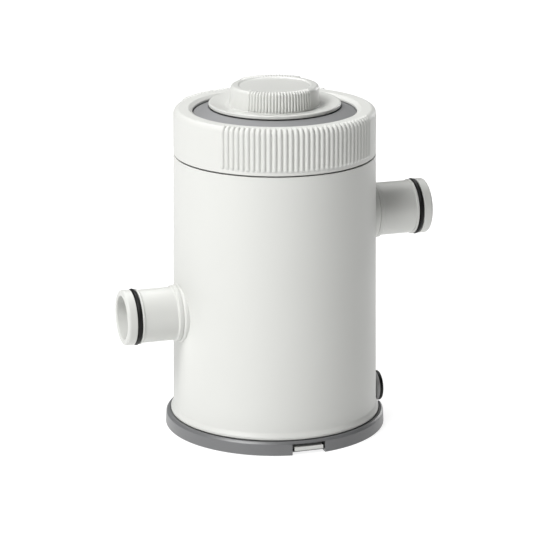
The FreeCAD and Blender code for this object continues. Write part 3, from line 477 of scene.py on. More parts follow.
body = turned("pump_housing", [
    (skirt_radius, skirt_low, 0.0004),
    (skirt_radius, base_top + foot_gap),
    (flange_radius, base_top + foot_gap, 0.0002),
    (flange_radius, base_top + flange_rise, 0.0006),
    (foot_radius, foot_height, 0.0020),
    (top_radius, shoulder, 0.0003),
    (top_radius - trench_edge, shoulder, 0.0002),
    (top_radius - trench_foot, shoulder - trench_depth),
    (neck_radius, shoulder - trench_depth),
    (neck_radius, neck_top, 0.0006),
    (neck_bore, neck_top, 0.0006),
    (neck_bore, shoulder - shell_wall, 0.0010),
    (shell_radius(shoulder) - shell_wall, shoulder - shell_wall, 0.0020),
    (shell_radius(bulkhead_top) - shell_wall, bulkhead_top, 0.0015),
    (well_radius, bulkhead_top, 0.0008),
    (well_radius, well_floor),
    (0.0, well_floor),
    (0.0, well_floor - well_end_wall),
    (well_radius + well_wall, well_floor - well_end_wall, 0.0010),
    (well_radius + well_wall, bulkhead_low),
    (shell_radius(bulkhead_low) - shell_wall, bulkhead_low),
    (skirt_radius - shell_wall, base_top),
    (skirt_radius - shell_wall, skirt_low)], 240)

white_plastic = white_moulding("white_plastic", roughness=0.40)
overlap = 0.0005
overrun = 0.001
hole_start, hole_end = 0.050, 0.070
lug_half, lug_reach, lug_low = 0.00875, 0.0662, skirt_low + 0.0001
lug_root, lug_height = 0.0598, 0.0022
boss_radius = 0.0180
boss_root, boss_face = 0.0565, 0.0620
tail_hole = 0.0161
grown = []
for side, height in ((-1, outlet_height), (1, inlet_height)):
    boss = turned("boss", [(0.0, boss_root), (boss_radius, boss_root), (boss_radius, boss_face, 0.0016),
                           (0.0, boss_face)], 120)
    grown.append(laid(boss, side, height))
for side in (-1, 1):
    grown.append(block("lug", (-lug_half, side * lug_root, lug_low),
                       (lug_half, side * lug_reach, lug_low + lug_height)))
collar_lead, collar_starts = 0.018, 3
thread_depth, thread_root, thread_crest = 0.0018, 0.0032, 0.0018
neck_thread_low = shoulder + 0.0058
neck_thread_turn = 200.0
grown.append(ridges(neck_radius, thread_depth, thread_root, thread_crest, collar_lead, neck_thread_low,
                    neck_thread_turn, collar_starts, white_plastic))


def on_circle(radius, degrees):
    return [(radius * math.cos(math.radians(a)), radius * math.sin(math.radians(a))) for a in degrees]


pilot_radius = 0.0016
post_radius = 0.0040
chamber_post_radius, chamber_post_height, chamber_drill = 0.0042, 0.0080, 0.0090
strap_bite = 0.0090
bottom_drill = 0.010
chamber_places = on_circle(0.0355, (45, 135, 225, 315))
bottom_places = on_circle(0.0480, (35, 145, 215, 325))
strap_places = [(x, y) for x in (-0.0270, 0.0270) for y in (-0.0075, 0.0380)]
drilled = []
for places, radius, low, high, drill_low, drill_high in (
        (chamber_places, chamber_post_radius, bulkhead_top - overlap, bulkhead_top + chamber_post_height,
         bulkhead_top + overlap, bulkhead_top + chamber_drill),
        (strap_places, post_radius, core_low, bulkhead_low + overlap,
         core_low - overrun, core_low + strap_bite + overrun),
        (bottom_places, post_radius, cover_top_face, bulkhead_low + overlap,
         cover_top_face - overrun, cover_top_face + bottom_drill)):
    for x, y in places:
        grown.append(moved(rod("boss", radius, low, high), x, y))
        drilled.append(moved(rod("drill", pilot_radius, drill_low, drill_high), x, y))
worked(body, "UNION", grown)
for side, height in ((-1, outlet_height), (1, inlet_height)):
    drilled.append(laid(rod("drill", tail_hole, hole_start, hole_end, 120), side, height))
lug_play = 0.0001
slot_half = 0.0102
slot_low, slot_high = lug_low + 0.0024, lug_low + 0.0034
slot_in, slot_out = 0.0565, 0.0640
for side in (-1, 1):
    for left, right, low in ((-slot_half, -lug_half - lug_play, skirt_low - overrun),
                             (lug_half + lug_play, slot_half, skirt_low - overrun),
                             (-lug_half - lug_play, lug_half + lug_play, slot_low)):
        drilled.append(block("slot", (left, side * slot_in, low), (right, side * slot_out, slot_high)))
gland_hole = 0.00655
pad_face, pad_half = 0.0624, 0.0095
drilled.append(laid(rod("drill", gland_hole, hole_start, hole_end, 64), 1, gland_height))
drilled.append(block("notch", (pad_face, -pad_half, gland_height - pad_half),
                     (hole_end, pad_half, gland_height + pad_half)))
worked(body, "DIFFERENCE", drilled)
completed(body, white_plastic)
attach(body, "pump_body")
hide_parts("housing")

# Hose ports
# Two round spigots of the same off-white plastic, welded in through the shell, so a bead shows at each
# root. The hose slides over the lips, and the sealing ring sits between them.
spigot_plastic = white_moulding("spigot_plastic", roughness=0.38, tone=0.97)
port_radius = 0.01605
port_bore = 0.0130
port_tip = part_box("inlet_port")[1].x
tail_radius, tail_end = 0.0150, 0.0545
bead_radius, bead_length, bead_foot = 0.0171, 0.0026, 0.0029
lip_radius = 0.0167
lip_start, lip_rise = 0.0018, 0.0011
groove_radius = 0.0144
groove_low = port_tip - 0.00890
groove_high = groove_low + 0.00322
for name, side, height in (("outlet_port", -1, outlet_height), ("inlet_port", 1, inlet_height)):
    low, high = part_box(name)
    tail = min(abs(low.x), abs(high.x))
    corners = [(port_bore, tail)]
    if side < 0:
        corners += [(tail_radius, tail, 0.0004), (tail_radius, tail_end), (port_radius, tail_end)]
    else:
        corners += [(port_radius, tail)]
    corners += [
        (port_radius, boss_face),
        (bead_radius, boss_face, 0.0005),
        (bead_radius, boss_face + bead_length, 0.0009),
        (port_radius, boss_face + bead_foot, 0.0008),
        (port_radius, groove_low - lip_start, 0.0005),
        (lip_radius, groove_low - lip_rise, 0.0004),
        (lip_radius, groove_low, 0.0004),
        (groove_radius, groove_low),
        (groove_radius, groove_high),
        (lip_radius, groove_high, 0.0004),
        (lip_radius, port_tip, 0.0024),
        (port_bore, port_tip, 0.0008)]
    spigot = laid(turned(name.replace("port", "spigot"), corners, 144), side, height)
    completed(spigot, spigot_plastic)
    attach(spigot, "pump_body")
    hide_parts(name)

# Sealing rings of the ports
# Black nitrile rings of round section, stretched into the grooves. A fine moulding line runs round the
# outside of each, and a trace of grease makes them shine in patches.


def rubber(name):
    """Black rubber with greasy patches."""
    finish = Finish(name, IOR=1.28)
    patch = finish.band(finish.noise(140.0, 3.0), 0.42, 0.66)
    grain = finish.noise(3200.0, 2.0)
    finish.set("Base Color", finish.mixed(patch, (0.004, 0.004, 0.004, 1), (0.009, 0.009, 0.009, 1)))
    finish.set("Roughness", 0.46 - 0.18 * patch + 0.08 * grain)
    finish.relief(grain, 0.00001, 0.7)
    return finish


def sealing_ring(name, section, middle_radius, seam=0.00006, sides=32):
    """Round-section ring about Z, with the two-part mould's line on its outside."""
    outline = []
    for k in range(sides):
        turn = math.tau * k / sides
        reach = section / 2 - (0.0 if k in (0, sides // 2) else seam)
        outline.append((middle_radius + reach * math.cos(turn), reach * math.sin(turn)))
    return turned(name, outline, 160, hold=1.0)


black_rubber = rubber("black_rubber")
ring_swell = 0.0004
for name, side, height in (("outlet_o_ring", -1, outlet_height), ("inlet_o_ring", 1, inlet_height)):
    low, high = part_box(name)
    section = high.x - low.x + ring_swell
    ring = sealing_ring(name.replace("o_ring", "sealing_ring"), section, (high.z - low.z - section) / 2)
    laid(moved(ring, z=abs(low.x + high.x) / 2), side, height)
    completed(ring, black_rubber)
    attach(ring, "pump_body")
    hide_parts(name)

# Base ring
# Mid-grey plastic hoop that snaps up over the skirt and carries the pump's weight on its rim. Two
# windows, front and back, show the lugs that hold it.
base_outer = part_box("base_ring")[1].x
base_bore, base_lip, base_lip_top = 0.0613, 0.0575, 0.0023
bevel_height = base_top - 0.0013
bevel_inset, top_inset = 0.0004, 0.0015
ledge_edge, ledge_foot, ledge_depth = 0.0640, 0.0637, 0.0007
window_half, window_near, window_far = 0.01025, 0.030, 0.080
web_low, web_high, web_face = 0.0019, 0.0024, 0.0655
notch_far = 0.090


def grey_moulding(name, first, second, roughness, gloss):
    """Grey plastic with the satin of a textured tool."""
    finish = Finish(name, IOR=gloss)
    cloud = finish.noise(30.0, 3.0)
    grain = finish.noise(2400.0, 1.0)
    finish.set("Base Color", finish.mixed(cloud, first, second))
    finish.set("Roughness", roughness + 0.08 * cloud + 0.05 * grain)
    finish.relief(grain, 0.000014, 0.7)
    return finish


hoop = turned("base_hoop", [
    (base_lip, 0.0, 0.0003),
    (base_outer, 0.0, 0.0004),
    (base_outer - bevel_inset, bevel_height, 0.0005),
    (base_outer - top_inset, base_top, 0.0003),
    (ledge_edge, base_top),
    (ledge_foot, base_top - ledge_depth),
    (base_bore, base_top - ledge_depth),
    (base_bore, base_lip_top),
    (base_lip, base_lip_top)], 240)
for side in (-1, 1):
    for near, low, high in ((window_near, -overrun, web_low),
                            (web_face, web_low - overrun, web_high + overrun),
                            (window_near, web_high, bevel_height)):
        worked(hoop, "DIFFERENCE", [block("window", (-window_half, side * near, low),
                                          (window_half, side * window_far, high))])
worked(hoop, "DIFFERENCE", [block("notch", (pad_face, -pad_half, gland_height - pad_half),
                                  (notch_far, pad_half, gland_height + pad_half))])
grey_plastic = grey_moulding("grey_plastic", (0.215, 0.217, 0.221, 1), (0.240, 0.242, 0.246, 1),
                             roughness=0.50, gloss=1.40)
base_plastic = grey_moulding("base_plastic", (0.136, 0.138, 0.141, 1), (0.158, 0.160, 0.164, 1),
                             roughness=0.31, gloss=1.60)
completed(hoop, base_plastic)
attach(hoop, "pump_body")
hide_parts("base_ring")

# Top cover
# Grey moulded disc that plugs the neck. Outside it shows as a sloping ring between the collar and the
# knob's brim; below, a skirt carries the seal and a spigot goes into the cartridge.
cover_low, cover_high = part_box("top_cover")
cone_top = cover_high.z
cover_top = cone_top - 0.0030
cover_under = cover_top - 0.0025
boss_top = cover_top + 0.0028
boss_low = cover_under - 0.0067
valve_bore = 0.0070
valve_boss = 0.0105
spigot_radius, spigot_wall, spigot_length = 0.0193, 0.0023, 0.0065
cap_groove_in, cap_groove_out, cap_groove_depth = 0.0216, 0.0256, 0.00144
plug_in, plug_out = 0.0482, 0.0523
seal_low, seal_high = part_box("cover_seal")
seal_section = seal_high.z - seal_low.z
seal_floor = seal_high.x - seal_section - 0.00002
seal_play = 0.0001
flange_edge, flange_lift = 0.0548, 0.0003
line_out, line_in, line_depth = 0.0494, 0.0485, 0.0009
crown_out, crown_in, crown_rise = 0.0403, 0.0397, 0.0009
cone_out, cone_in, cone_foot = 0.0394, 0.0386, 0.0374
cover = turned("cover", [
    (valve_bore, boss_low),
    (valve_boss, boss_low, 0.0005),
    (valve_boss, cover_under, 0.0005),
    (spigot_radius - spigot_wall, cover_under, 0.0005),
    (spigot_radius - spigot_wall, cover_under - spigot_length, 0.0003),
    (spigot_radius, cover_under - spigot_length, 0.0008),
    (spigot_radius, cover_under),
    (cap_groove_in, cover_under),
    (cap_groove_in, cover_under - cap_groove_depth),
    (cap_groove_out, cover_under - cap_groove_depth, 0.0005),
    (cap_groove_out, cover_under, 0.0005),
    (plug_in, cover_under, 0.0008),
    (plug_in, cover_low.z, 0.0005),
    (plug_out, cover_low.z, 0.0008),
    (plug_out, seal_low.z - seal_play),
    (seal_floor, seal_low.z - seal_play),
    (seal_floor, seal_high.z + seal_play),
    (plug_out, seal_high.z + seal_play),
    (plug_out, neck_top + flange_lift),
    (flange_edge, neck_top + flange_lift, 0.0004),
    (flange_edge, cover_top, 0.0005),
    (line_out, cover_top, 0.0002),
    (line_out, cover_top - line_depth),
    (line_in, cover_top - line_depth),
    (line_in, cover_top, 0.0002),
    (crown_out, cone_top + crown_rise, 0.0004),
    (crown_in, cone_top + crown_rise, 0.0002),
    (cone_out, cone_top, 0.0002),
    (cone_in, cone_top, 0.0004),
    (cone_foot, cover_top, 0.0006),
    (valve_boss, cover_top, 0.0004),
    (valve_boss, boss_top, 0.0003),
    (valve_bore, boss_top, 0.0003)], 200)
valve_lead = 0.004
valve_depth, valve_root, valve_crest = 0.0009, 0.0019, 0.0011
bore_thread_margin, bore_thread_spare = 0.00155, 0.0031
bore_thread_low = boss_low + bore_thread_margin
bore_thread_turn = math.degrees(math.tau * (boss_top - boss_low - bore_thread_spare) / valve_lead)
worked(cover, "UNION", [ridges(valve_bore, -valve_depth, valve_root, valve_crest, valve_lead,
                               bore_thread_low, bore_thread_turn, 1, grey_plastic)])
completed(cover, grey_plastic)
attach(cover, "cover")
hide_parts("top_cover")

# Cover seal
# Black rubber ring in the groove of the cover's skirt, like those on the ports but larger.
seal = sealing_ring("cover_sealing_ring", seal_section, seal_high.x - seal_section / 2)
moved(seal, z=(seal_low.z + seal_high.z) / 2)
completed(seal, black_rubber)
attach(seal, "cover")
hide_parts("cover_seal")

# Collar
# Off-white screwed ring that holds the cover down. Its outside has two long sectors of upright ribs for
# the fingers, front and back, moulded in one with the wall.


ribs = Shape("finger_ribs", {"Ribs": whole_number, "Pitch": number, "Rib Radius": number, "Wall": number,
                             "Proud": number, "Low": number, "End": number, "Turn": number})
pitch, rib, wall, proud = (ribs.size(name) for name in ("Pitch", "Rib Radius", "Wall", "Proud"))
facing = ribs.add("GeometryNodeInputNormal")
x, y, z = ribs.parts(ribs.add("GeometryNodeInputPosition"))
out_x, out_y, out_z = ribs.parts(facing)
radius = (x ** 2 + y ** 2) ** 0.5
heading = abs(y.maths("ARCTAN2", y, x) - ribs.size("Turn")) - math.pi / 2
last_rib = ribs.size("Ribs") - 1
station = heading / pitch + last_rib / 2
nearest = station.maths("MINIMUM", station.maths("MAXIMUM", station.maths("ROUND", station), 0.0), last_rib)
aside = (station - nearest) * pitch * wall
beyond = z.maths("MAXIMUM", ribs.size("Low") + rib - z, ribs.size("End") + rib - radius)
beyond = beyond.maths("MAXIMUM", beyond, 0.0)
arch = rib ** 2 - aside ** 2 - beyond ** 2
crown = arch.maths("MAXIMUM", arch, 0.0) ** 0.5 - rib + proud
outside = radius.maths("GREATER_THAN", (out_x * x + out_y * y) / radius + out_z, 0.1)
on_wall = radius.maths("LESS_THAN", radius, wall + 2.0 * rib)
height = crown.maths("MAXIMUM", crown, 0.0) * outside * on_wall
lift = ribs.add("ShaderNodeVectorMath", {"operation": "SCALE"}, {0: facing, "Scale": height})
ribs.end(ribs.add("GeometryNodeSetPosition", None, {"Geometry": ribs.size("Geometry"), "Offset": lift}))


def rib_angles(count, pitch, half_width, turn=0.0, plain=2.5):
    """Angles of a ribbed wall's upright lines: close together on each rib, wide apart elsewhere."""
    shares = (-1.0, -0.86, -0.6, -0.3, 0.0, 0.3, 0.6, 0.86, 1.0)
    marks = []
    for centre in (-90.0, 90.0):
        for k in range(count):
            middle = centre + turn + (k - (count - 1) / 2) * pitch
            marks += [middle + half_width * share for share in shares]
        reach = (count - 1) / 2 * pitch + half_width
        gap = 180.0 - 2 * reach
        pieces = math.ceil(gap / plain)
        marks += [centre + turn + reach + gap * k / pieces for k in range(1, pieces)]
    return sorted(math.radians(mark % 360.0) for mark in marks)


def half_angle(radius, proud, wall):
    """Half the width of a rib on a wall, in degrees."""
    return math.degrees(math.sqrt(radius ** 2 - (radius - proud) ** 2) / wall)


collar_low, collar_high = (corner.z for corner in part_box("lid_ring"))
collar_wall = 0.0605
collar_bore = 0.0579
collar_opening = 0.0490
collar_flange = 0.0028
bevel_width, bevel_depth = 0.0024, 0.0016
rib_count, rib_pitch = 33, 3.0
rib_radius, rib_proud = 0.00135, 0.00105
rib_low = collar_low + 0.0024
rib_end = 0.0574
rib_half = half_angle(rib_radius, rib_proud, collar_wall)
collar = turned("collar", [
    (collar_bore, collar_low, 0.0004),
    (collar_wall, collar_low, 0.0005),
    (collar_wall, rib_low + 0.0001),
    (collar_wall, rib_low + 0.0006),
    (collar_wall, rib_low + rib_radius),
    (collar_wall, collar_high, 0.0035),
    (collar_opening + bevel_width, collar_high, 0.0016),
    (collar_opening, collar_high - bevel_depth, 0.0008),
    (collar_opening, collar_high - collar_flange, 0.0003),
    (collar_bore, collar_high - collar_flange, 0.0005)],
    rib_angles(rib_count, rib_pitch, rib_half), fine=9, hold=0.00025)
ribs.cast(collar, {"Ribs": rib_count, "Pitch": math.radians(rib_pitch), "Rib Radius": rib_radius,
                   "Wall": collar_wall, "Proud": rib_proud, "Low": rib_low, "End": rib_end, "Turn": 0.0,
                   "Material": white_plastic.material})
collar_thread_drop, collar_thread_turn = 0.002506, 150.0
worked(collar, "UNION", [ridges(collar_bore, -thread_depth, thread_root, thread_crest, collar_lead,
                                neck_thread_low - collar_thread_drop, collar_thread_turn, collar_starts,
                                white_plastic)])
completed(collar, white_plastic, 38)
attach(collar, "collar")
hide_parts("lid_ring")

# Air-release knob
# Hat-shaped knob of the same white plastic, polished a little more: wide brim, ribbed grip, dished top,
# and the stem that screws into the cover's boss.
knob_low, knob_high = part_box("air_release_knob")
knob_top = knob_high.z
brim_low = cover_top + 0.0043
brim_top = brim_low + 0.0022
hub_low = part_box("valve_washer")[1].z + 0.00005
brim_dish = 0.0016
brim_radius, brim_edge, brim_under = 0.0394, 0.0379, 0.0370
dish_top, dish_under = 0.0300, 0.0294
stem_radius = 0.0057
grip_foot, grip_top, grip_wall = 0.0268, 0.0262, 0.0024
knob_rib_count, knob_rib_pitch, knob_rib_turn = 22, 4.1, -10.0
knob_rib_radius, knob_rib_proud = 0.00085, 0.0007
knob_rib_wall = grip_top + 0.0003
knob_rib_low = brim_top - brim_dish + 0.0006
knob_rib_end = 0.0222
knob_rib_half = half_angle(knob_rib_radius, knob_rib_proud, knob_rib_wall)
knob_rim = knob_top - knob_rib_proud - 0.0001
rim_width, rim_foot, rim_step, rim_depth = 0.0042, 0.0052, 0.0006, 0.0009
knob_ceiling = knob_top - 0.0034


def grip_radius(height):
    """Outside of the tapered grip at a height."""
    return grip_foot + (grip_top - grip_foot) * (height - brim_top) / (knob_top - brim_top)


knob = turned("knob", [
    (0.0, knob_low.z),
    (stem_radius, knob_low.z, 0.0006),
    (stem_radius, hub_low),
    (valve_boss, hub_low, 0.0003),
    (valve_boss, knob_ceiling, 0.0010),
    (grip_foot - grip_wall, knob_ceiling, 0.0015),
    (grip_foot - grip_wall, brim_low - brim_dish, 0.0008),
    (dish_under, brim_low - brim_dish, 0.0020),
    (brim_under, brim_low, 0.0020),
    (brim_radius, brim_low, 0.0007),
    (brim_radius, brim_top, 0.0006),
    (brim_edge, brim_top, 0.0007),
    (dish_top, brim_top - brim_dish, 0.0020),
    (grip_foot, brim_top - brim_dish, 0.0005),
    (grip_radius(knob_rib_low + 0.0004), knob_rib_low + 0.0004),
    (grip_radius(knob_rib_low + knob_rib_radius), knob_rib_low + knob_rib_radius),
    (grip_top, knob_rim, 0.0032),
    (grip_top - rim_width, knob_rim, 0.0006),
    (grip_top - rim_foot, knob_rim - rim_step, 0.0008),
    (0.0, knob_rim - rim_depth)],
    rib_angles(knob_rib_count, knob_rib_pitch, knob_rib_half, knob_rib_turn), fine=9, hold=0.0002)
ribs.cast(knob, {"Ribs": knob_rib_count, "Pitch": math.radians(knob_rib_pitch),
                 "Rib Radius": knob_rib_radius, "Wall": knob_rib_wall, "Proud": knob_rib_proud,
                 "Low": knob_rib_low, "End": knob_rib_end, "Turn": math.radians(knob_rib_turn),
                 "Material": white_plastic.material})
stem_thread_drop, stem_thread_spare = 0.001502, 0.0035
stem_thread_low = bore_thread_low - stem_thread_drop + valve_lead
stem_thread_turn = 360.0 * (hub_low - stem_thread_spare - stem_thread_low) / valve_lead
worked(knob, "UNION", [ridges(stem_radius, valve_depth, valve_root, valve_crest, valve_lead,
                              stem_thread_low, stem_thread_turn, 1, white_plastic)])
vent_in, vent_out, vent_half, vent_spare = 0.0047, 0.0076, 0.0010, 0.0020
worked(knob, "DIFFERENCE", [block("vent", (side * vent_in, -vent_half, knob_low.z - overrun),
                                  (side * vent_out, vent_half, hub_low - vent_spare))
                            for side in (-1, 1)])
knob_plastic = white_moulding("knob_plastic", roughness=0.26)
completed(knob, knob_plastic, 38)
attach(knob, "knob")
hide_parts("air_release_knob")

# Cord gland
# Black plastic bushing low on the right, through which the power cord goes in. The cord isn't shown, as
# in the photograph, so the grommet's round hole is open.
gland_low, gland_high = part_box("cord_gland")
gland_face = gland_high.x + 0.0005
grommet_seat, thread_radius, cord_side = 0.00505, 0.0065, 0.00625
gland_radius, gland_edge, gland_joint = 0.0092, 0.0088, 0.0089
joint_low, joint_middle, joint_high = pad_face + 0.0031, pad_face + 0.0034, pad_face + 0.0037
black_plastic = Finish("black_plastic", IOR=1.5)
black_cloud = black_plastic.noise(90.0, 3.0)
black_grain = black_plastic.noise(2500.0, 1.0)
black_plastic.set("Base Color", black_plastic.mixed(black_cloud, (0.008, 0.008, 0.009, 1),
                                                    (0.015, 0.015, 0.017, 1)))
black_plastic.set("Roughness", 0.34 + 0.14 * black_cloud)
black_plastic.relief(black_grain, 0.000012, 0.7)
gland_plastic = Finish("gland_plastic", IOR=1.35)
gland_grain = gland_plastic.noise(2500.0, 1.0)
outward = gland_plastic.parts(gland_plastic.place)[0]
rim_share = gland_plastic.band(outward, pad_face + 0.0032, joint_middle)
gland_grey = gland_plastic.mixed(gland_grain, (0.42, 0.42, 0.42, 1), (0.46, 0.46, 0.46, 1))
gland_plastic.set("Base Color", gland_plastic.mixed(rim_share, gland_grey, (0.004, 0.004, 0.004, 1)))
gland_plastic.set("Roughness", 0.40 + 0.10 * gland_grain)
gland_plastic.relief(gland_grain, 0.000012, 0.7)
gland = turned("gland", [
    (grommet_seat, gland_low.x),
    (thread_radius, gland_low.x, 0.0005),
    (thread_radius, pad_face + 0.0010),
    (gland_edge, pad_face + 0.0010, 0.0003),
    (gland_radius, pad_face + 0.0016, 0.0002),
    (gland_radius, joint_low, 0.0002),
    (gland_joint, joint_middle, 0.0001),
    (gland_radius, joint_high, 0.0002),
    (gland_radius, gland_face, 0.0013),
    (cord_side, gland_face, 0.0010),
    (grommet_seat, gland_face - 0.0020)], 96)
laid(gland, 1, gland_height)
completed(gland, gland_plastic)
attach(gland, "pump_body")
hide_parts("cord_gland")

# Gland's grommet and nut
# Soft grommet inside the gland, and the black nut that clamps the gland from within. They keep their
# CAD shape, as does each piece below whose solid already looks like the real one.


def wear(names, finish):
    """Give CAD nodes a finish."""
    for name in names:
        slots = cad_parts[name].data.materials
        slots.clear()
        slots.append(finish.material)


wear(["gland_grommet"], black_rubber)
wear(["gland_locknut"], black_plastic)

# Screws
# Zinc-plated pan heads with a cross recess, in moulded bosses. Four hold the plate under the foot, four
# the pump chamber and four the straps of the stator.


def plated(name, first, second, roughness):
    """Bare or plated metal with the cloud and fine scratches of a barrel finish."""
    finish = Finish(name, Metallic=1.0)
    cloud = finish.noise(180.0, 3.0)
    scratch = finish.noise(1500.0, 2.0, (1.0, 1.0, 0.2))
    finish.set("Base Color", finish.mixed(cloud, first, second))
    finish.set("Roughness", roughness + 0.12 * cloud + 0.08 * scratch)
    finish.relief(scratch, 0.000006, 0.6)
    return finish


zinc_steel = plated("zinc_steel", (0.50, 0.51, 0.53, 1), (0.64, 0.65, 0.67, 1), roughness=0.24)
screw = Shape("pan_head_screw", {"Head Radius": number, "Head Height": number, "Shank Radius": number,
                                 "Shank Length": number, "Recess Width": number, "Recess Depth": number,
                                 "Tilt": number})
wide, tall, long = (screw.size(name) for name in ("Head Radius", "Head Height", "Shank Length"))


def offset(**axes):
    return screw.add("ShaderNodeCombineXYZ", None, axes)


head = screw.add("GeometryNodeMeshCylinder", None, {
    "Vertices": 32, "Side Segments": 2, "Fill Segments": 4, "Radius": wide, "Depth": tall})
x, y, z = screw.parts(screw.add("GeometryNodeInputPosition"))
above = z.maths("GREATER_THAN", z, 0.00001)
fall = above * (x ** 2 + y ** 2) / wide ** 2 * tall * 0.35
head = screw.add("GeometryNodeSetPosition", None, {"Geometry": head, "Offset": offset(Z=tall / 2 - fall)})
for long_axis, short_axis in ("XY", "YX"):
    extent = {long_axis: 1.2 * wide, short_axis: screw.size("Recess Width"),
              "Z": 2.0 * screw.size("Recess Depth")}
    bit = screw.add("GeometryNodeMeshCube", None, {"Size": offset(**extent)})
    bit = screw.add("GeometryNodeTransform", None, {"Geometry": bit, "Translation": offset(Z=tall)})
    head = screw.add("GeometryNodeMeshBoolean", {"operation": "DIFFERENCE"}, {"Mesh 1": head, "Mesh 2": bit})
shank = screw.add("GeometryNodeMeshCylinder", None, {
    "Vertices": 16, "Radius": screw.size("Shank Radius"), "Depth": long})
shank = screw.add("GeometryNodeTransform", None, {"Geometry": shank, "Translation": offset(Z=long / -2)})
whole = screw.add("GeometryNodeJoinGeometry", None, {0: head})
screw.feed(whole.socket.node.inputs[0], shank)
screw.end(screw.add("GeometryNodeInstanceOnPoints", None, {
    "Points": screw.size("Geometry"), "Instance": whole, "Rotation": offset(X=screw.size("Tilt"))}))
head_radius, head_height = 0.0032, 0.0017
shank_radius = 0.00158
recess_width, recess_depth = 0.0008, 0.0009
for node, places, tilt in (("bottom_cover_screws", bottom_places, math.pi),
                           ("chamber_screws", chamber_places, 0.0),
                           ("strap_screws", strap_places, math.pi)):
    low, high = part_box(node)
    seat = low.z + head_height if tilt else high.z - head_height
    marks = bpy.data.meshes.new(node)
    marks.from_pydata([(x, y, seat) for x, y in places], [], [])
    screws = placed(node.replace("screws", "pan_heads"), marks)
    screw.cast(screws, {"Head Radius": head_radius, "Head Height": head_height,
                        "Shank Radius": shank_radius, "Shank Length": high.z - low.z - head_height,
                        "Recess Width": recess_width, "Recess Depth": recess_depth, "Tilt": tilt,
                        "Material": zinc_steel.material})
    completed(face_outwards(screws), zinc_steel)
    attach(screws, "pump_body")
    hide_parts(node)

# Bottom cover
# White plate that closes the motor space from below, moulded in the same plastic as the body.
wear(["bottom_cover"], white_plastic)

# Filter cartridge
# Pleated filter paper round a perforated plastic core, with a soft blue cap cast onto each end. It lifts
# out of the chamber once the cover is off.


def fibres(finish, scale):
    """Tangled threads, light along each fibre."""
    first = finish.noise(scale, 3.0, (1.0, 1.0, 0.08))
    second = finish.noise(scale, 3.0, (0.12, 0.7, 1.0))
    third = finish.noise(scale, 3.0, (0.8, 0.12, 0.7))
    return (first + second + third) / 3.0


filter_paper = Finish("filter_paper", Specular_IOR_Level=0.2, Sheen_Weight=0.15)
felt = filter_paper.band(fibres(filter_paper, 1100.0), 0.38, 0.62)
blotch = filter_paper.noise(55.0, 3.0)
filter_paper.set("Base Color", filter_paper.mixed(0.7 * felt + 0.3 * blotch, (0.74, 0.74, 0.72, 1),
                                                  (0.88, 0.88, 0.87, 1)))
filter_paper.set("Roughness", 0.95 - 0.12 * felt)
filter_paper.relief(felt, 0.00005, 0.5)
wear(["cartridge_media"], filter_paper)

blue_soft_cap = Finish("blue_soft_cap", IOR=1.46)
cast_cloud = blue_soft_cap.noise(45.0, 4.0)
pits = blue_soft_cap.band(blue_soft_cap.noise(420.0, 1.0), 0.60, 0.72)
blue_soft_cap.set("Base Color", blue_soft_cap.mixed(cast_cloud, (0.040, 0.125, 0.330, 1),
                                                    (0.060, 0.170, 0.410, 1)))
blue_soft_cap.set("Roughness", 0.42 + 0.12 * cast_cloud + 0.15 * pits)
blue_soft_cap.relief(cast_cloud - 0.35 * pits, 0.00012, 0.5)
wear(["cartridge_bottom_cap", "cartridge_top_cap"], blue_soft_cap)


def natural_plastic(name, first, second):
    """Undyed plastic with faint flow marks."""
    finish = Finish(name, IOR=1.49)
    flow = finish.noise(75.0, 3.0, (1.0, 1.0, 0.25))
    grain = finish.noise(2200.0, 1.0)
    finish.set("Base Color", finish.mixed(flow, first, second))
    finish.set("Roughness", 0.38 + 0.14 * flow + 0.05 * grain)
    finish.relief(grain, 0.00001, 0.6)
    return finish


inner_plastic = natural_plastic("inner_plastic", (0.52, 0.52, 0.50, 1), (0.59, 0.59, 0.57, 1))
wear(["cartridge_core"], inner_plastic)

# Pump chamber and impeller
# Plain plastic volute screwed to the bulkhead over a flat rubber seal, and the straight-bladed impeller
# that turns in it.
wear(["pump_chamber", "impeller"], inner_plastic)
wear(["chamber_seal", "valve_washer"], black_rubber)

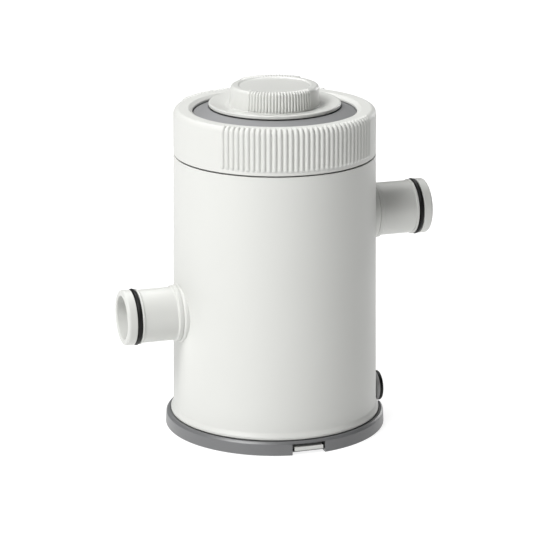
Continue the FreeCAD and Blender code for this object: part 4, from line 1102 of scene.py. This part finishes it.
# Rotor
# Sintered ferrite magnet that turns on a ground ceramic shaft, between ceramic thrust washers. A rubber
# bush holds each end of the shaft.
ferrite = Finish("ferrite", IOR=1.6)
sinter = ferrite.noise(700.0, 4.0)
fleck = ferrite.band(ferrite.noise(1800.0, 2.0), 0.58, 0.70)
ferrite_grey = ferrite.mixed(sinter, (0.016, 0.016, 0.018, 1), (0.032, 0.032, 0.035, 1))
ferrite.set("Base Color", ferrite.mixed(fleck, ferrite_grey, (0.070, 0.070, 0.074, 1)))
ferrite.set("Roughness", 0.50 + 0.20 * sinter)
ferrite.relief(sinter, 0.00003, 0.6)
wear(["rotor_magnet"], ferrite)

hard_ceramic = Finish("hard_ceramic", IOR=1.75, Coat_Weight=0.3)
ground = hard_ceramic.noise(900.0, 2.0, (1.0, 1.0, 6.0))
hard_ceramic.set("Base Color", hard_ceramic.mixed(ground, (0.70, 0.69, 0.65, 1), (0.78, 0.77, 0.73, 1)))
hard_ceramic.set("Roughness", 0.14 + 0.14 * ground)
hard_ceramic.relief(ground, 0.000004, 0.6)
wear(["rotor_shaft", "thrust_washers"], hard_ceramic)
wear(["lower_bush", "upper_bush"], black_rubber)

# Stator
# U-shaped stack of thin steel laminations with a wound bobbin on each leg, held up to the bulkhead by
# three pressed straps.


def stacked(name, axis, pitch, first, second, roughness):
    """Metal in fine layers along an axis: laminations, or turns of wire."""
    finish = Finish(name, Metallic=1.0)
    across = finish.parts(finish.place)["XYZ".index(axis)]
    wave = across.maths("SINE", across * (math.tau / pitch)) * 0.5 + 0.5
    cloud = finish.noise(240.0, 3.0)
    # The colour goes dark and light with each layer, as the relief does. On a core the dark bands are the
    # joints between sheets. On a winding the dark bands are painted shade in the grooves between turns, and
    # the light bands are a painted highlight on each turn.
    finish.set("Base Color", finish.mixed(0.6 * wave + 0.4 * cloud, first, second))
    finish.set("Roughness", roughness + 0.16 * cloud)
    finish.relief(wave, pitch / 5, 0.6)
    return finish


core_steel = stacked("core_steel", "Z", 0.0005, (0.22, 0.22, 0.23, 1), (0.42, 0.42, 0.44, 1),
                     roughness=0.38)
# On the winding, the dark bands are painted shade between the turns and the light bands are a painted
# highlight on them.
copper = stacked("copper", "Y", 0.00045, (0.45, 0.17, 0.07, 1), (0.74, 0.33, 0.16, 1), roughness=0.26)
wear(["stator_core"], core_steel)
wear(["coil_windings"], copper)
wear(["coil_bobbins"], natural_plastic("bobbin_plastic", (0.60, 0.59, 0.54, 1), (0.66, 0.65, 0.60, 1)))
wear(["stator_straps"], zinc_steel)

# Terminals
# Black two-pole block with brass clamps, where the power cord joins the insulated leads of the coils.
brass = plated("brass", (0.62, 0.44, 0.17, 1), (0.76, 0.57, 0.25, 1), roughness=0.22)
wear(["terminal_block", "coil_leads"], black_plastic)
wear(["terminal_clamps"], brass)
wear(["terminal_screw"], zinc_steel)
